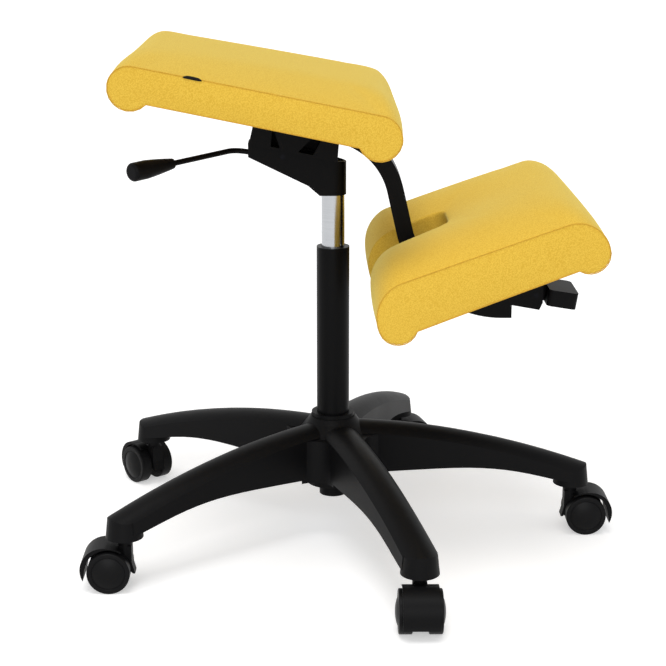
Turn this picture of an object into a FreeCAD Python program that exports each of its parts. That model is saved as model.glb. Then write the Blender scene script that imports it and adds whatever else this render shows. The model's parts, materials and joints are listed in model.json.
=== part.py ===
"""Kneeling office chair: five-legged castor base, gas column, tilted seat and a sliding knee rest.

Lengths are in millimetres. The origin is on the floor under the column, +Z is up, the sitter faces -Y
and the sitter's right hand is towards -X. Shapes seen from the side are written as distances ahead of
the column and above the floor.
"""
import FreeCAD, Part
import math
import os

os.makedirs("parts", exist_ok=True)

V = FreeCAD.Vector
ORIGIN = V(0, 0, 0)
UP = V(0, 0, 1)
ACROSS = V(1, 0, 0)

# Fits
RUNNING_PLAY = 0.05
SLIDING_GAP = 0.4

# Castors
WHEEL_DIAMETER = 50.0
WHEEL_GAP = 18.4
TREAD_WIDTH = 13.6
RIM_ROUND = 1.6
RIM_RADIUS = 20.0
RIM_STEP = 1.0
DOME_BULGE = 5.0
DOME_SHARE = 0.82
DOME_FLAT = 3.0
AXLE_DIAMETER = 6.0
AXLE_LENGTH = 40.0
CASTOR_TRAIL = 17.8
HOOD_WIDTH = 40.5
HOOD_CLEARANCE = 2.8
HOOD_SHELL = 1.4
HOOD_SWELL = 4.4
HOOD_SWELL_ANGLE = 28.0
HOOD_INNER_ANGLE = 12.0
HOOD_END_ANGLE = 122.0
HOOD_TAIL_REACH = 30.0
HOOD_TAIL_DROP = 10.5
FIN_REACH = 29.5
FIN_DROP = 6.0
FIN_ROOT = 7.0
FIN_THICKNESS = 2.5
WEB_CLEARANCE = 1.2
WEB_RADIUS = 14.0
NECK_DIAMETER = 16.5
NECK_HEIGHT = 8.0
STEM_DIAMETER = 11.0
STEM_FLANGE_HEIGHT = 1.5
STEM_IN_HOOD = 24.0
STEM_IN_BOSS = 19.0
GRIP_RING_THICKNESS = 0.6
GRIP_RING_LENGTH = 8.0
GRIP_RING_SPLIT = 2.0

# Star base
LEG_COUNT = 5
BASE_RADIUS = 300.0
BOSS_DIAMETER = 44.0
BOSS_HEIGHT = 14.0
BOSS_DRAFT = 0.11
HUB_RISE = 85.0
LEG_DROP = 53.0
LEG_BOW = 0.05
LEG_CROWN = 11.0
LEG_FOOT_WIDTH = 43.5
LEG_TOP_WIDTH = 36.0
LEG_WALL = 3.5
LEG_RIB = 3.0
LEG_RIB_RISE = 26.0
HUB_COLLAR_RISE = 6.0
HUB_COLLAR_DIAMETER = 56.0
HUB_COLLAR_FLARE = 4.0
HUB_DIAMETER = 92.0
HUB_SKIRT = 18.0
HUB_CORE_DIAMETER = 66.0
HUB_DEPTH = 4.0
HUB_WEB_MARGIN = 1.0
LEG_FILLET = 25.0
HUB_RING_DIAMETER = 53.0
HUB_RING_HEIGHT = 5.0

# Column
TUBE_DIAMETER = 40.0
TUBE_FOOT_DIAMETER = 34.0
TUBE_WALL = 2.0
TUBE_LENGTH = 316.5
TUBE_FOOT_DROP = 16.0
TUBE_FLOOR = 3.0
BUSH_LENGTH = 62.0
BUSH_LIP = 1.0
CYLINDER_DIAMETER = 28.0
CYLINDER_WALL = 2.0
CYLINDER_SHOWN = 65.0
CYLINDER_IN_TUBE = 151.0
CYLINDER_TAPER_LENGTH = 36.0
CYLINDER_TAPER = 0.6
CYLINDER_CAP = 30.0
ROD_GUIDE_LENGTH = 16.0
ROD_DIAMETER = 10.0
ROD_COLLAR_DIAMETER = 18.0
ROD_COLLAR_HEIGHT = 3.0
ROD_TAIL_DIAMETER = 8.0
ROD_TAIL_DROP = 5.0
CLIP_DIAMETER = 15.0
CLIP_THICKNESS = 1.5
PISTON_HEIGHT = 12.0
PISTON_ABOVE_TUBE = -18.0
RACE_DIAMETER = 26.0
RACE_THICKNESS = 2.0
BALL_DIAMETER = 4.0
BALL_COUNT = 10
BALL_GAP = 0.02
PIN_DIAMETER = 8.0
PIN_SHOWN = 8.0
PIN_LENGTH = 28.0

# Seat mechanism
SEAT_TILT = 11.6
SEAT_RISE = 92.0
HOUSING_WIDTH = 32.0
HOUSING_WALL = 2.5
HOUSING_TOP = 48.0
HOUSING_REAR = 101.0
HOUSING_REAR_DEPTH = 17.0
HOUSING_KNEE = 29.7
HOUSING_KNEE_RISE = 12.0
BRACKET_PLATE = 3.5
BRACKET_REAR = 92.0
BRACKET_FRONT = 15.0
BRACKET_TOP_REAR = 90.5
BRACKET_TOP_FRONT = 9.0
BRACKET_FLANGE = 30.0
FLANGE_THICKNESS = 3.0
BRACKET_RIB = 3.0
BRACKET_RIB_ACROSS = 16.0
WINDOW_TOP = 24.0
WINDOW_SILL = 3.0
REAR_WINDOW = (-68.5, -66.5, -55.0, -66.0)
FRONT_WINDOW = (-19.0, -8.0, -15.0, -33.0)
LEVER_PIVOT_BACK = 60.0
LEVER_PIVOT_RISE = 47.0
LEVER_PIN_DIAMETER = 6.0
ROCKER_DIAMETER = 13.0
ROCKER_WIDTH = 25.0
ROCKER_BAR_WIDTH = 12.0
ROCKER_BAR_HEIGHT = 6.5
ROCKER_REACH = 5.0
ROCKER_ROOM = 3.0
LEVER_ROD_DIAMETER = 6.5
LEVER_ROD_STOP = 10.0
LEVER_NOTCH_ROOM = 1.0
LEVER_OFFSET = 9.0
LEVER_SLOPE = 0.127
LEVER_STRAIGHT = 58.0
LEVER_BEND_RADIUS = 24.0
LEVER_OUT = 121.0
LEVER_BACK = 109.0
LEVER_DOWN = 7.0
GRIP_LENGTH = 63.0
GRIP_DIAMETER = 21.5
GRIP_NECK_DIAMETER = 12.0
GRIP_NOSE = 6.0
GRIP_ROUND = 4.0
GRIP_SHOULDER = 0.35
GRIP_WAIST = 0.72

# Carrier arm
ARM_WIDTH = 50.0
ARM_THICKNESS = 20.0
ARM_WALL = 2.0
ARM_BELOW_SEAT = 5.0
ARM_REAR = 88.0
ARM_UPPER_RADIUS = 90.0
ARM_LEAN = 77.0
ARM_LOWER_RADIUS = 122.0
ARM_REACH = 205.0
ARM_DROP = 230.8
ARM_TAIL = 10.0
CAP_DEPTH = 12.0
CAP_FLANGE = 1.5

# Both pads: how full they are between the seams and the middle
FOAM_CLEARANCE = 0.8
CROWN_STATIONS = (-1.0, -0.92, -0.8, -0.55, 0.0, 0.55, 0.8, 0.92, 1.0)
CROWN_POWER = 6
CROWN_BOW = 3.0
LEAST_BOW = 0.05
ROLL_SWELL = 0.6
END_SWELL = 1.0
SIDE_DRAW = 2.5

# Seat pad
SEAT_WIDTH = 420.0
SEAT_LENGTH = 319.5
SEAT_BACK = 248.3
SEAT_TOP_REAR = 36.6
SEAT_TOP_FRONT = 38.6
SEAT_ROLL_RADIUS = 24.0
SEAT_ROLL_CENTRE = 13.3
SEAT_CROWN_REAR = 12.0
SEAT_CROWN_FRONT = 18.0
BOARD_THICKNESS = 12.0
BOARD_MARGIN = 14.0
TAG_LENGTH = 20.0
TAG_HEIGHT = 5.0
TAG_STANDS = 2.5
TAG_THICKNESS = 0.8
TAG_BACK = 161.0

# Knee pad
KNEE_TILT = 21.0
KNEE_BEHIND_ARM_END = 30.0
KNEE_ABOVE_ARM_END = 86.2
KNEE_WIDTH = 420.0
KNEE_BACK = 140.5
KNEE_FRONT = 127.0
KNEE_UNDERSIDE = 29.5
KNEE_TOP_REAR = 27.5
KNEE_TOP_FRONT = 23.0
KNEE_ROLL_RADIUS = 22.0
KNEE_ROLL_SAG = 8.5
KNEE_REAR_ROUND = 40.0
KNEE_FRONT_ROUND = 31.0
KNEE_CROWN_REAR = 20.0
KNEE_CROWN_FRONT = 18.0
SLOT_WIDTH = 84.0
SLOT_BACK = 27.0
SLOT_CORNER = 15.0
SLOT_DIP = 15.0
SLOT_DIP_REACH = 75.0

# Knee slide
RUNNER_PLATE = 3.0
RUNNER_WIDTH = 98.0
RUNNER_REAR = 20.0
RUNNER_FRONT = 84.0
RUNNER_WALL = 3.6
RUNNER_LIP = 8.5
TRACK_THICKNESS = 6.0
TRACK_WIDTH = 68.0
TRACK_REAR = 15.0
TRACK_FRONT = 70.0
CHEEK_THICKNESS = 3.5
CHEEK_BACK = 55.0
CHEEK_NOSE_REACH = 35.0
CHEEK_NOSE_DROP = 6.0
CHEEK_NOSE_LEAN = 4.0
CHEEK_NOSE_HEIGHT = 9.0
CLAMP_DIAMETER = 10.0
CLAMP_ALONG = 36.2
CLAMP_LENGTH = 42.0
CLAMP_HEAD_DIAMETER = 16.0
CLAMP_HEAD_HEIGHT = 4.0
CAM_RADIUS = 8.0
CAM_OFFSET = 8.0
CAM_LEAD = 45.0
CAM_WIDTH = 16.0
PADDLE_PIN_DIAMETER = 6.0
PADDLE_WIDTH = 70.0
PADDLE_LENGTH = 36.0
PADDLE_HEIGHT = 20.0
PADDLE_NECK = 13.0
PADDLE_RISE = 3.5
PADDLE_DROOP = 9.0
PADDLE_WALL = 4.0
PADDLE_ROUND = 6.0

# Fasteners
BOLT_DIAMETER = 8.0
BOLT_HEAD = 13.0
BOLT_HEAD_HEIGHT = 5.3
ARM_BOLTS_BACK = (68.0, 12.0)
SCREW_DIAMETER = 6.0
SCREW_HEAD = 11.0
SCREW_HEAD_HEIGHT = 3.5
SCREW_DEPTH = 9.0
SEAT_SCREWS_BACK = (85.0, 5.0)
KNEE_SCREWS_ALONG = (-10.0, 74.0)

# Heights and places that follow from the driving dimensions
wheel_radius = WHEEL_DIAMETER / 2
hood_inside = wheel_radius + HOOD_CLEARANCE
hood_outside = hood_inside + HOOD_SHELL
hood_top = wheel_radius + hood_outside
boss_bottom = hood_top + NECK_HEIGHT
boss_top = boss_bottom + BOSS_HEIGHT
hub_crown = boss_bottom + HUB_RISE
hub_bottom = boss_bottom + HUB_DEPTH
hub_top = hub_crown + HUB_COLLAR_RISE
tube_bottom = hub_bottom - TUBE_FOOT_DROP
tube_top = tube_bottom + TUBE_LENGTH
tube_floor = tube_bottom + TUBE_FLOOR
cylinder_radius = CYLINDER_DIAMETER / 2
cylinder_bore = cylinder_radius - CYLINDER_WALL
cylinder_bottom = tube_top - CYLINDER_IN_TUBE
socket_bottom = tube_top + CYLINDER_SHOWN
cylinder_top = socket_bottom + CYLINDER_TAPER_LENGTH
pin_top = cylinder_top + PIN_SHOWN
seat_height = socket_bottom + SEAT_RISE
arm_low = seat_height - ARM_DROP
arm_end = ARM_REACH + ARM_TAIL
knee_forward = ARM_REACH - KNEE_BEHIND_ARM_END
knee_height = arm_low + KNEE_ABOVE_ARM_END
bracket_inner = ARM_WIDTH / 2
bracket_outer = bracket_inner + BRACKET_PLATE
pivot_height = socket_bottom + LEVER_PIVOT_RISE
runner_top = -KNEE_UNDERSIDE
track_top = runner_top - RUNNER_PLATE - SLIDING_GAP
track_bottom = track_top - TRACK_THICKNESS
runner_inner = TRACK_WIDTH / 2 + SLIDING_GAP
clamp_bottom = track_top - CLAMP_LENGTH
# Leg cross-sections: share of the way out, underside above the boss, and extra half-width at the top
LEG_STATIONS = ((0.07, 18.0, 5.0), (0.30, 24.0, 3.5), (0.53, 27.0, 3.0),
                (0.75, 22.5, 2.5), (0.95, 9.0, 2.5), (1.12, 4.0, 3.0))
HOLLOW_STATIONS = ((0.19, -20.0, 2.5), (0.53, -20.0, 2.0), (0.86, -20.0, 1.5))
LEG_ANGLES = [-90.0 - index * 360.0 / LEG_COUNT for index in range(LEG_COUNT)]
CASTOR_HEADINGS = (-90.0, 180.0, 90.0, 40.0, -75.0)


def at(forward, up, across=0.0):
    """A point ahead of the column, above the floor and across to the sitter's left."""
    return V(across, -forward, up)


def seat_at(along, above, across=0.0):
    """A point in the tilted seat's frame, whose zero is the pad's underside over the column."""
    tilt = math.radians(SEAT_TILT)
    forward = along * math.cos(tilt) + above * math.sin(tilt)
    return at(forward, seat_height - along * math.sin(tilt) + above * math.cos(tilt), across)


def knee_at(along, above, across=0.0):
    """A point in the tilted knee rest's frame."""
    tilt = math.radians(KNEE_TILT)
    forward = knee_forward + along * math.cos(tilt) - above * math.sin(tilt)
    return at(forward, knee_height + along * math.sin(tilt) + above * math.cos(tilt), across)


def outline(steps):
    """A closed wire: a point ends a straight edge, a (through, end) pair ends an arc."""
    edges = []
    last = steps[0]
    for step in steps[1:] + steps[:1]:
        if isinstance(step, tuple):
            edges.append(Part.Arc(last, step[0], step[1]).toShape())
            last = step[1]
        elif (step - last).Length > 1e-6:
            edges.append(Part.LineSegment(last, step).toShape())
            last = step
    return Part.Wire(edges)


def slab(steps, low, high):
    """A side outline pushed through the chair from one distance across to another."""
    face = Part.Face(outline(steps))
    face.translate(ACROSS * low)
    return face.extrude(ACROSS * (high - low))


def block(frame, along, above, across):
    """A box square to a tilted frame, given as (low, high) pairs."""
    corners = [frame(along[0], above[0]), frame(along[1], above[0]),
               frame(along[1], above[1]), frame(along[0], above[1])]
    return slab(corners, across[0], across[1])


def turned(steps):
    """A (radius, height) outline turned round the column's axis."""
    face = Part.Face(outline([V(radius, 0, height) for radius, height in steps]))
    return face.revolve(ORIGIN, UP, 360)


def bar(start, end, diameter):
    """A round bar between two points."""
    return Part.makeCylinder(diameter / 2, (end - start).Length, start, end - start)


def ring(diameter, bore, bottom, height):
    """A flat ring round the column's axis."""
    outer = Part.makeCylinder(diameter / 2, height, V(0, 0, bottom))
    return outer.cut(Part.makeCylinder(bore / 2, height, V(0, 0, bottom)))


def hexagon(centre, direction, across_flats, height):
    """A hexagonal head or nut that stands on a point."""
    radius = across_flats / math.sqrt(3)
    corners = []
    for step in range(6):
        turn = math.radians(60 * step)
        corners.append(V(radius * math.cos(turn), radius * math.sin(turn), 0))
    head = Part.Face(outline(corners)).extrude(UP * height)
    head.Placement = FreeCAD.Placement(centre, FreeCAD.Rotation(UP, direction))
    return head


def group(solids):
    """Identical pieces that share one node."""
    return Part.makeCompound(solids)


def on_leg(shape, angle):
    """Swings a piece made on the +X axis round to a leg's direction."""
    turned_shape = shape.copy()
    turned_shape.rotate(ORIGIN, UP, angle)
    return turned_shape


# Star base

def leg_crown(radius):
    """Height of a leg's ridge above the floor."""
    share = radius / BASE_RADIUS
    return hub_crown - LEG_DROP * (LEG_BOW * share + (1 - LEG_BOW) * share ** 2)


def leg_section(radius, underside, flare, inset=0.0, drop=0.0):
    """One cross-section of a leg: flat foot, leaning sides and a crowned top."""
    foot = LEG_FOOT_WIDTH / 2 - inset
    top = LEG_TOP_WIDTH / 2 + flare - inset
    crown = leg_crown(radius) - drop
    low = boss_bottom + underside
    crease = crown - LEG_CROWN
    return outline([V(radius, -foot, low), V(radius, foot, low), V(radius, top, crease),
                    (V(radius, 0, crown), V(radius, -top, crease))])


def boss_cone(bottom, top):
    """Drafted round end of a leg about the castor stem."""
    foot = BOSS_DIAMETER / 2
    low = foot - BOSS_DRAFT * (bottom - boss_bottom)
    high = foot - BOSS_DRAFT * (top - boss_bottom)
    return Part.makeCone(low, high, top - bottom, V(BASE_RADIUS, 0, bottom))


def leg_outside():
    """One leg along +X, from the hub to the rounded end."""
    sections = [leg_section(share * BASE_RADIUS, low, flare) for share, low, flare in LEG_STATIONS]
    leg = Part.makeLoft(sections, True, False)
    end = Part.makeBox(BOSS_DIAMETER, 2 * BOSS_DIAMETER, hub_top, V(BASE_RADIUS, -BOSS_DIAMETER, 0))
    leg = leg.cut(end.cut(boss_cone(boss_bottom, hub_crown)))
    return leg.fuse(boss_cone(boss_bottom, boss_top))


def leg_hollow():
    """Open hollow under a leg, with one lengthwise rib left standing."""
    sections = []
    for share, low, flare in HOLLOW_STATIONS:
        sections.append(leg_section(share * BASE_RADIUS, low, flare, LEG_WALL, LEG_CROWN / 2 + LEG_WALL))
    hollow = Part.makeLoft(sections, True, False)
    rib = Part.makeBox(BASE_RADIUS, LEG_RIB, hub_crown, V(0, -LEG_RIB / 2, boss_bottom + LEG_RIB_RISE))
    return hollow.cut(rib)


def hub_web():
    """Rounded web that fills the corner between two legs, on the bisector along +X."""
    half_angle = math.pi / LEG_COUNT
    side = (LEG_FOOT_WIDTH + LEG_TOP_WIDTH) / 4 + HUB_WEB_MARGIN
    reach = (side + LEG_FILLET) / math.tan(half_angle)
    forward = reach * math.cos(half_angle) + side * math.sin(half_angle)
    sideways = reach * math.sin(half_angle) - side * math.cos(half_angle)
    nearest = (side + LEG_FILLET) / math.sin(half_angle) - LEG_FILLET
    low = boss_bottom + HUB_SKIRT
    high = leg_crown(reach) - LEG_CROWN
    face = Part.Face(outline([V(0, 0, low), V(forward, -sideways, low),
                              (V(nearest, 0, low), V(forward, sideways, low))]))
    return face.extrude(UP * (high - low))


def tube_radius(height):
    """Outside radius of the column tube, tapered where it sits in the hub."""
    share = (height - hub_bottom) / (hub_top - hub_bottom)
    foot = TUBE_FOOT_DIAMETER / 2
    return foot + (TUBE_DIAMETER / 2 - foot) * min(1.0, max(0.0, share))


def star_base():
    """Moulded base with five legs, a tapered hub socket and a stem socket in each boss."""
    shoulder = hub_crown - LEG_CROWN / 2
    core = turned([(0, hub_bottom), (HUB_CORE_DIAMETER / 2, hub_bottom),
                   (HUB_CORE_DIAMETER / 2, boss_bottom + HUB_SKIRT),
                   (HUB_DIAMETER / 2, boss_bottom + HUB_SKIRT), (HUB_DIAMETER / 2, shoulder - LEG_CROWN),
                   (HUB_COLLAR_DIAMETER / 2 + HUB_COLLAR_FLARE, hub_crown),
                   (HUB_COLLAR_DIAMETER / 2, hub_top), (0, hub_top)])
    base = core
    for angle in LEG_ANGLES:
        base = base.fuse(on_leg(leg_outside(), angle))
        base = base.fuse(on_leg(hub_web(), angle + 180.0 / LEG_COUNT))
    bore = turned([(0, hub_bottom), (tube_radius(hub_bottom), hub_bottom),
                   (tube_radius(hub_top), hub_top), (0, hub_top)])
    base = base.cut(bore)
    for angle in LEG_ANGLES:
        socket = Part.makeCylinder(STEM_DIAMETER / 2 + GRIP_RING_THICKNESS, STEM_IN_BOSS,
                                   V(BASE_RADIUS, 0, boss_bottom))
        base = base.cut(on_leg(leg_hollow().fuse(socket), angle))
    return base.removeSplitter()


def hub_ring():
    """Ring round the column's foot."""
    return ring(HUB_RING_DIAMETER, TUBE_DIAMETER, hub_top, HUB_RING_HEIGHT)


# Castors

def castor_stem():
    """Stem of one castor, on the leg along +X."""
    shaft = Part.makeCylinder(STEM_DIAMETER / 2, STEM_IN_HOOD + NECK_HEIGHT + STEM_IN_BOSS,
                              V(BASE_RADIUS, 0, hood_top - STEM_IN_HOOD))
    flange = Part.makeCylinder(NECK_DIAMETER / 2, STEM_FLANGE_HEIGHT,
                               V(BASE_RADIUS, 0, boss_bottom - STEM_FLANGE_HEIGHT))
    return shaft.fuse(flange).removeSplitter()


def grip_ring():
    """Split spring ring that holds a stem in its boss, on the leg along +X."""
    low = boss_bottom + (STEM_IN_BOSS - GRIP_RING_LENGTH) / 2
    band = ring(STEM_DIAMETER + 2 * GRIP_RING_THICKNESS, STEM_DIAMETER, low, GRIP_RING_LENGTH)
    split = Part.makeBox(STEM_DIAMETER, GRIP_RING_SPLIT, GRIP_RING_LENGTH, V(0, -GRIP_RING_SPLIT / 2, low))
    band = band.cut(split)
    band.translate(V(BASE_RADIUS, 0, 0))
    return band


def castor_wheel():
    """Left wheel of a castor at its own centre, axle along +Y."""
    inner = WHEEL_GAP / 2
    outer = inner + TREAD_WIDTH
    bore = AXLE_DIAMETER / 2 + RUNNING_PLAY
    bore_end = AXLE_LENGTH / 2 + SLIDING_GAP
    lean = RIM_ROUND * (1 - math.sqrt(0.5))
    steps = [V(bore, inner, 0), V(wheel_radius - RIM_ROUND / 2, inner, 0),
             V(wheel_radius, inner + RIM_ROUND / 2, 0), V(wheel_radius, outer, 0),
             (V(wheel_radius - lean, outer + RIM_ROUND - lean, 0),
              V(wheel_radius - RIM_ROUND, outer + RIM_ROUND, 0)),
             V(RIM_RADIUS, outer + RIM_ROUND, 0), V(RIM_RADIUS - RIM_STEP, outer + RIM_ROUND / 2, 0),
             (V(RIM_RADIUS / 2, outer + DOME_BULGE * DOME_SHARE, 0), V(DOME_FLAT, outer + DOME_BULGE, 0)),
             V(0, outer + DOME_BULGE, 0), V(0, bore_end, 0), V(bore, bore_end, 0)]
    return Part.Face(outline(steps)).revolve(ORIGIN, V(0, 1, 0), 360)


def castor_hood():
    """Castor hood with its stem on the Z axis and its tail towards +X."""
    hub = V(CASTOR_TRAIL, 0, wheel_radius)
    web_width = WHEEL_GAP - 2 * WEB_CLEARANCE

    def polar(radius, degrees):
        turn = math.radians(degrees)
        return V(CASTOR_TRAIL + radius * math.cos(turn), 0, wheel_radius + radius * math.sin(turn))

    half_end = (90 + HOOD_END_ANGLE) / 2
    fender = Part.Face(outline([
        hub + V(HOOD_TAIL_REACH, 0, -HOOD_TAIL_DROP),
        (polar(hood_outside + HOOD_SWELL, HOOD_SWELL_ANGLE), polar(hood_outside, 90)),
        (polar(hood_outside, half_end), polar(hood_outside, HOOD_END_ANGLE)),
        polar(hood_inside, HOOD_END_ANGLE),
        (polar(hood_inside, half_end), polar(hood_inside, 90)),
        (polar(hood_inside, HOOD_END_ANGLE / 2), polar(hood_inside, HOOD_INNER_ANGLE))]))
    fender.translate(V(0, -HOOD_WIDTH / 2, 0))
    neck_edge = -NECK_DIAMETER / 2
    fin_tip = hub - V(FIN_REACH, 0, FIN_DROP)
    web = Part.Face(outline([
        polar(hood_inside, 90), V(neck_edge, 0, hub.z + hood_inside), V(neck_edge, 0, hub.z + FIN_ROOT),
        fin_tip, fin_tip + V(FIN_THICKNESS, 0, 0), V(neck_edge + 2 * FIN_THICKNESS, 0, hub.z),
        V(0, 0, hub.z - WEB_RADIUS), hub - V(0, 0, WEB_RADIUS), hub + V(WEB_RADIUS, 0, 0),
        polar(hood_inside + HOOD_SHELL / 2, HOOD_END_ANGLE / 2)]))
    web.translate(V(0, -web_width / 2, 0))
    neck_top = boss_bottom - STEM_FLANGE_HEIGHT - SLIDING_GAP
    neck = Part.makeCylinder(NECK_DIAMETER / 2, neck_top - wheel_radius, V(0, 0, wheel_radius))
    hood = fender.extrude(V(0, HOOD_WIDTH, 0)).fuse(web.extrude(V(0, web_width, 0))).fuse(neck)
    floor = hood_top - STEM_IN_HOOD - SLIDING_GAP
    hood = hood.cut(Part.makeCylinder(STEM_DIAMETER / 2 + RUNNING_PLAY, boss_bottom, V(0, 0, floor)))
    axle_hole = Part.makeCylinder(AXLE_DIAMETER / 2, HOOD_WIDTH, hub - V(0, HOOD_WIDTH / 2, 0), V(0, 1, 0))
    return hood.cut(axle_hole).removeSplitter()


def castor_pieces(leg_angle, heading):
    """Hood, axle and two wheels of one castor, turned to its heading under its leg."""
    hub = V(CASTOR_TRAIL, 0, wheel_radius)
    left = castor_wheel()
    left.translate(hub)
    right = castor_wheel()
    right.rotate(ORIGIN, UP, 180)
    right.translate(hub)
    axle = Part.makeCylinder(AXLE_DIAMETER / 2, AXLE_LENGTH, hub - V(0, AXLE_LENGTH / 2, 0), V(0, 1, 0))
    pieces = {"hood": castor_hood(), "axle": axle, "wheel_left": left, "wheel_right": right}
    swing = math.radians(leg_angle)
    for piece in pieces.values():
        piece.rotate(ORIGIN, UP, heading)
        piece.translate(V(BASE_RADIUS * math.cos(swing), BASE_RADIUS * math.sin(swing), 0))
    return pieces


# Column

def column_tube():
    """Stand tube with a tapered foot and a floor that the piston rod hangs through."""
    wall = TUBE_WALL
    hole = ROD_TAIL_DIAMETER / 2 + RUNNING_PLAY
    foot = tube_radius(hub_bottom)
    full = tube_radius(hub_top)
    return turned([(hole, tube_bottom), (foot, tube_bottom), (foot, hub_bottom), (full, hub_top),
                   (full, tube_top), (full - wall, tube_top), (full - wall, hub_top),
                   (foot - wall, hub_bottom), (foot - wall, tube_floor), (hole, tube_floor)])


def column_bush():
    """Guide bush in the top of the tube, with a lip over its rim."""
    sleeve = ring(TUBE_DIAMETER - 2 * TUBE_WALL, CYLINDER_DIAMETER + 2 * RUNNING_PLAY,
                  tube_top - BUSH_LENGTH, BUSH_LENGTH)
    lip = ring(TUBE_DIAMETER, CYLINDER_DIAMETER + 2 * RUNNING_PLAY, tube_top, BUSH_LIP)
    return sleeve.fuse(lip).removeSplitter()


race_bore = ROD_TAIL_DIAMETER + 2 * SLIDING_GAP
balls_bottom = tube_floor + RACE_THICKNESS + BALL_GAP
upper_race_bottom = balls_bottom + BALL_DIAMETER + BALL_GAP
rod_shoulder = upper_race_bottom + RACE_THICKNESS


def thrust_balls():
    """Balls of the thrust bearing."""
    pitch = (RACE_DIAMETER + race_bore) / 4
    balls = []
    for index in range(BALL_COUNT):
        turn = 2 * math.pi * index / BALL_COUNT
        centre = V(pitch * math.cos(turn), pitch * math.sin(turn), balls_bottom + BALL_DIAMETER / 2)
        balls.append(Part.makeSphere(BALL_DIAMETER / 2, centre))
    return group(balls)


def piston_rod():
    """Rod that stands on the bearing and carries the piston."""
    top = tube_top + PISTON_ABOVE_TUBE + PISTON_HEIGHT
    tail = tube_bottom - ROD_TAIL_DROP
    return turned([(0, tail), (ROD_TAIL_DIAMETER / 2, tail), (ROD_TAIL_DIAMETER / 2, rod_shoulder),
                   (ROD_COLLAR_DIAMETER / 2, rod_shoulder),
                   (ROD_COLLAR_DIAMETER / 2, rod_shoulder + ROD_COLLAR_HEIGHT),
                   (ROD_DIAMETER / 2, rod_shoulder + ROD_COLLAR_HEIGHT), (ROD_DIAMETER / 2, top), (0, top)])


def piston_head():
    """Piston that runs in the cylinder's bore."""
    return ring(2 * (cylinder_bore - RUNNING_PLAY), ROD_DIAMETER, tube_top + PISTON_ABOVE_TUBE, PISTON_HEIGHT)


def rod_clip():
    """Clip on the rod's tail, under the tube."""
    return ring(CLIP_DIAMETER, ROD_TAIL_DIAMETER, tube_bottom - SLIDING_GAP - CLIP_THICKNESS, CLIP_THICKNESS)


def gas_cylinder():
    """Chrome cylinder with a tapered top that wedges into the seat mechanism."""
    top = cylinder_radius - CYLINDER_TAPER
    pin = PIN_DIAMETER / 2 + RUNNING_PLAY
    cap = cylinder_top - CYLINDER_CAP
    return turned([(cylinder_bore, cylinder_bottom), (cylinder_radius, cylinder_bottom),
                   (cylinder_radius, socket_bottom), (top, cylinder_top), (pin, cylinder_top),
                   (pin, cap), (cylinder_bore, cap)])


def rod_guide():
    """Guide and seal in the cylinder's lower end."""
    return ring(2 * cylinder_bore, ROD_DIAMETER + 2 * RUNNING_PLAY, cylinder_bottom, ROD_GUIDE_LENGTH)


def release_pin():
    """Valve pin that the height lever presses."""
    return Part.makeCylinder(PIN_DIAMETER / 2, PIN_LENGTH, V(0, 0, pin_top - PIN_LENGTH))


# Seat mechanism

def housing_outline(inset):
    """Side outline of the housing, drawn in from its walls by the inset."""
    tilt = math.radians(SEAT_TILT)
    rear = -HOUSING_REAR + inset
    top_rear = seat_at((rear + HOUSING_TOP * math.sin(tilt)) / math.cos(tilt), -HOUSING_TOP)
    top_front = seat_at(HOUSING_WIDTH, -HOUSING_TOP)
    low_rear = top_rear - UP * (HOUSING_REAR_DEPTH - inset)
    low_front = at(-HOUSING_KNEE, socket_bottom + HOUSING_KNEE_RISE + inset)
    return [top_rear, low_rear, low_front, at(-HOUSING_WIDTH / 2 + inset, socket_bottom + inset),
            at(HOUSING_WIDTH, socket_bottom + inset), top_front]


def housing_plan(half_width, rear, bottom, height):
    """Upright U: flat sides and rear, with a round front about the column."""
    box = Part.makeBox(2 * half_width, rear, height, V(-half_width, 0, bottom))
    return box.fuse(Part.makeCylinder(half_width, height, V(0, 0, bottom)))


def lever_tail(across):
    """Where the straight inner stretch of the lever rod ends."""
    return at(-LEVER_PIVOT_BACK - LEVER_STRAIGHT, pivot_height + LEVER_SLOPE * LEVER_STRAIGHT, across)


def mechanism_housing():
    """Pressed housing: tapered socket in front, open hollow for the lever behind."""
    half = HOUSING_WIDTH / 2
    tall = seat_height - socket_bottom
    outer = slab(housing_outline(0), -half, half)
    outer = outer.common(housing_plan(half, HOUSING_REAR + half, socket_bottom, tall))
    hollow = slab(housing_outline(HOUSING_WALL), -half, half)
    hollow = hollow.common(housing_plan(half - HOUSING_WALL, HOUSING_REAR - HOUSING_WALL,
                                        socket_bottom, tall))
    taper = turned([(0, socket_bottom), (cylinder_radius, socket_bottom),
                    (cylinder_radius - CYLINDER_TAPER, cylinder_top), (0, cylinder_top)])
    socket = Part.makeCylinder(half - HOUSING_WALL / 2, CYLINDER_TAPER_LENGTH - PIN_SHOWN / 2,
                               V(0, 0, socket_bottom))
    housing = outer.cut(hollow.cut(socket)).cut(taper)
    housing = housing.cut(Part.makeCylinder(cylinder_radius - CYLINDER_TAPER, tall, V(0, 0, cylinder_top)))
    pin = bar(at(-LEVER_PIVOT_BACK, pivot_height, -half), at(-LEVER_PIVOT_BACK, pivot_height, half),
              LEVER_PIN_DIAMETER)
    notch_half = LEVER_ROD_DIAMETER / 2 + SLIDING_GAP
    exit_point = lever_tail(-LEVER_OFFSET)
    notch = Part.makeBox(2 * notch_half, HOUSING_WALL * 4, tall,
                         V(exit_point.x - notch_half, HOUSING_REAR - 2 * HOUSING_WALL,
                           pivot_height + LEVER_SLOPE * (HOUSING_REAR - LEVER_PIVOT_BACK)
                           - notch_half - LEVER_NOTCH_ROOM))
    return housing.cut(pin).cut(notch)


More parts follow.
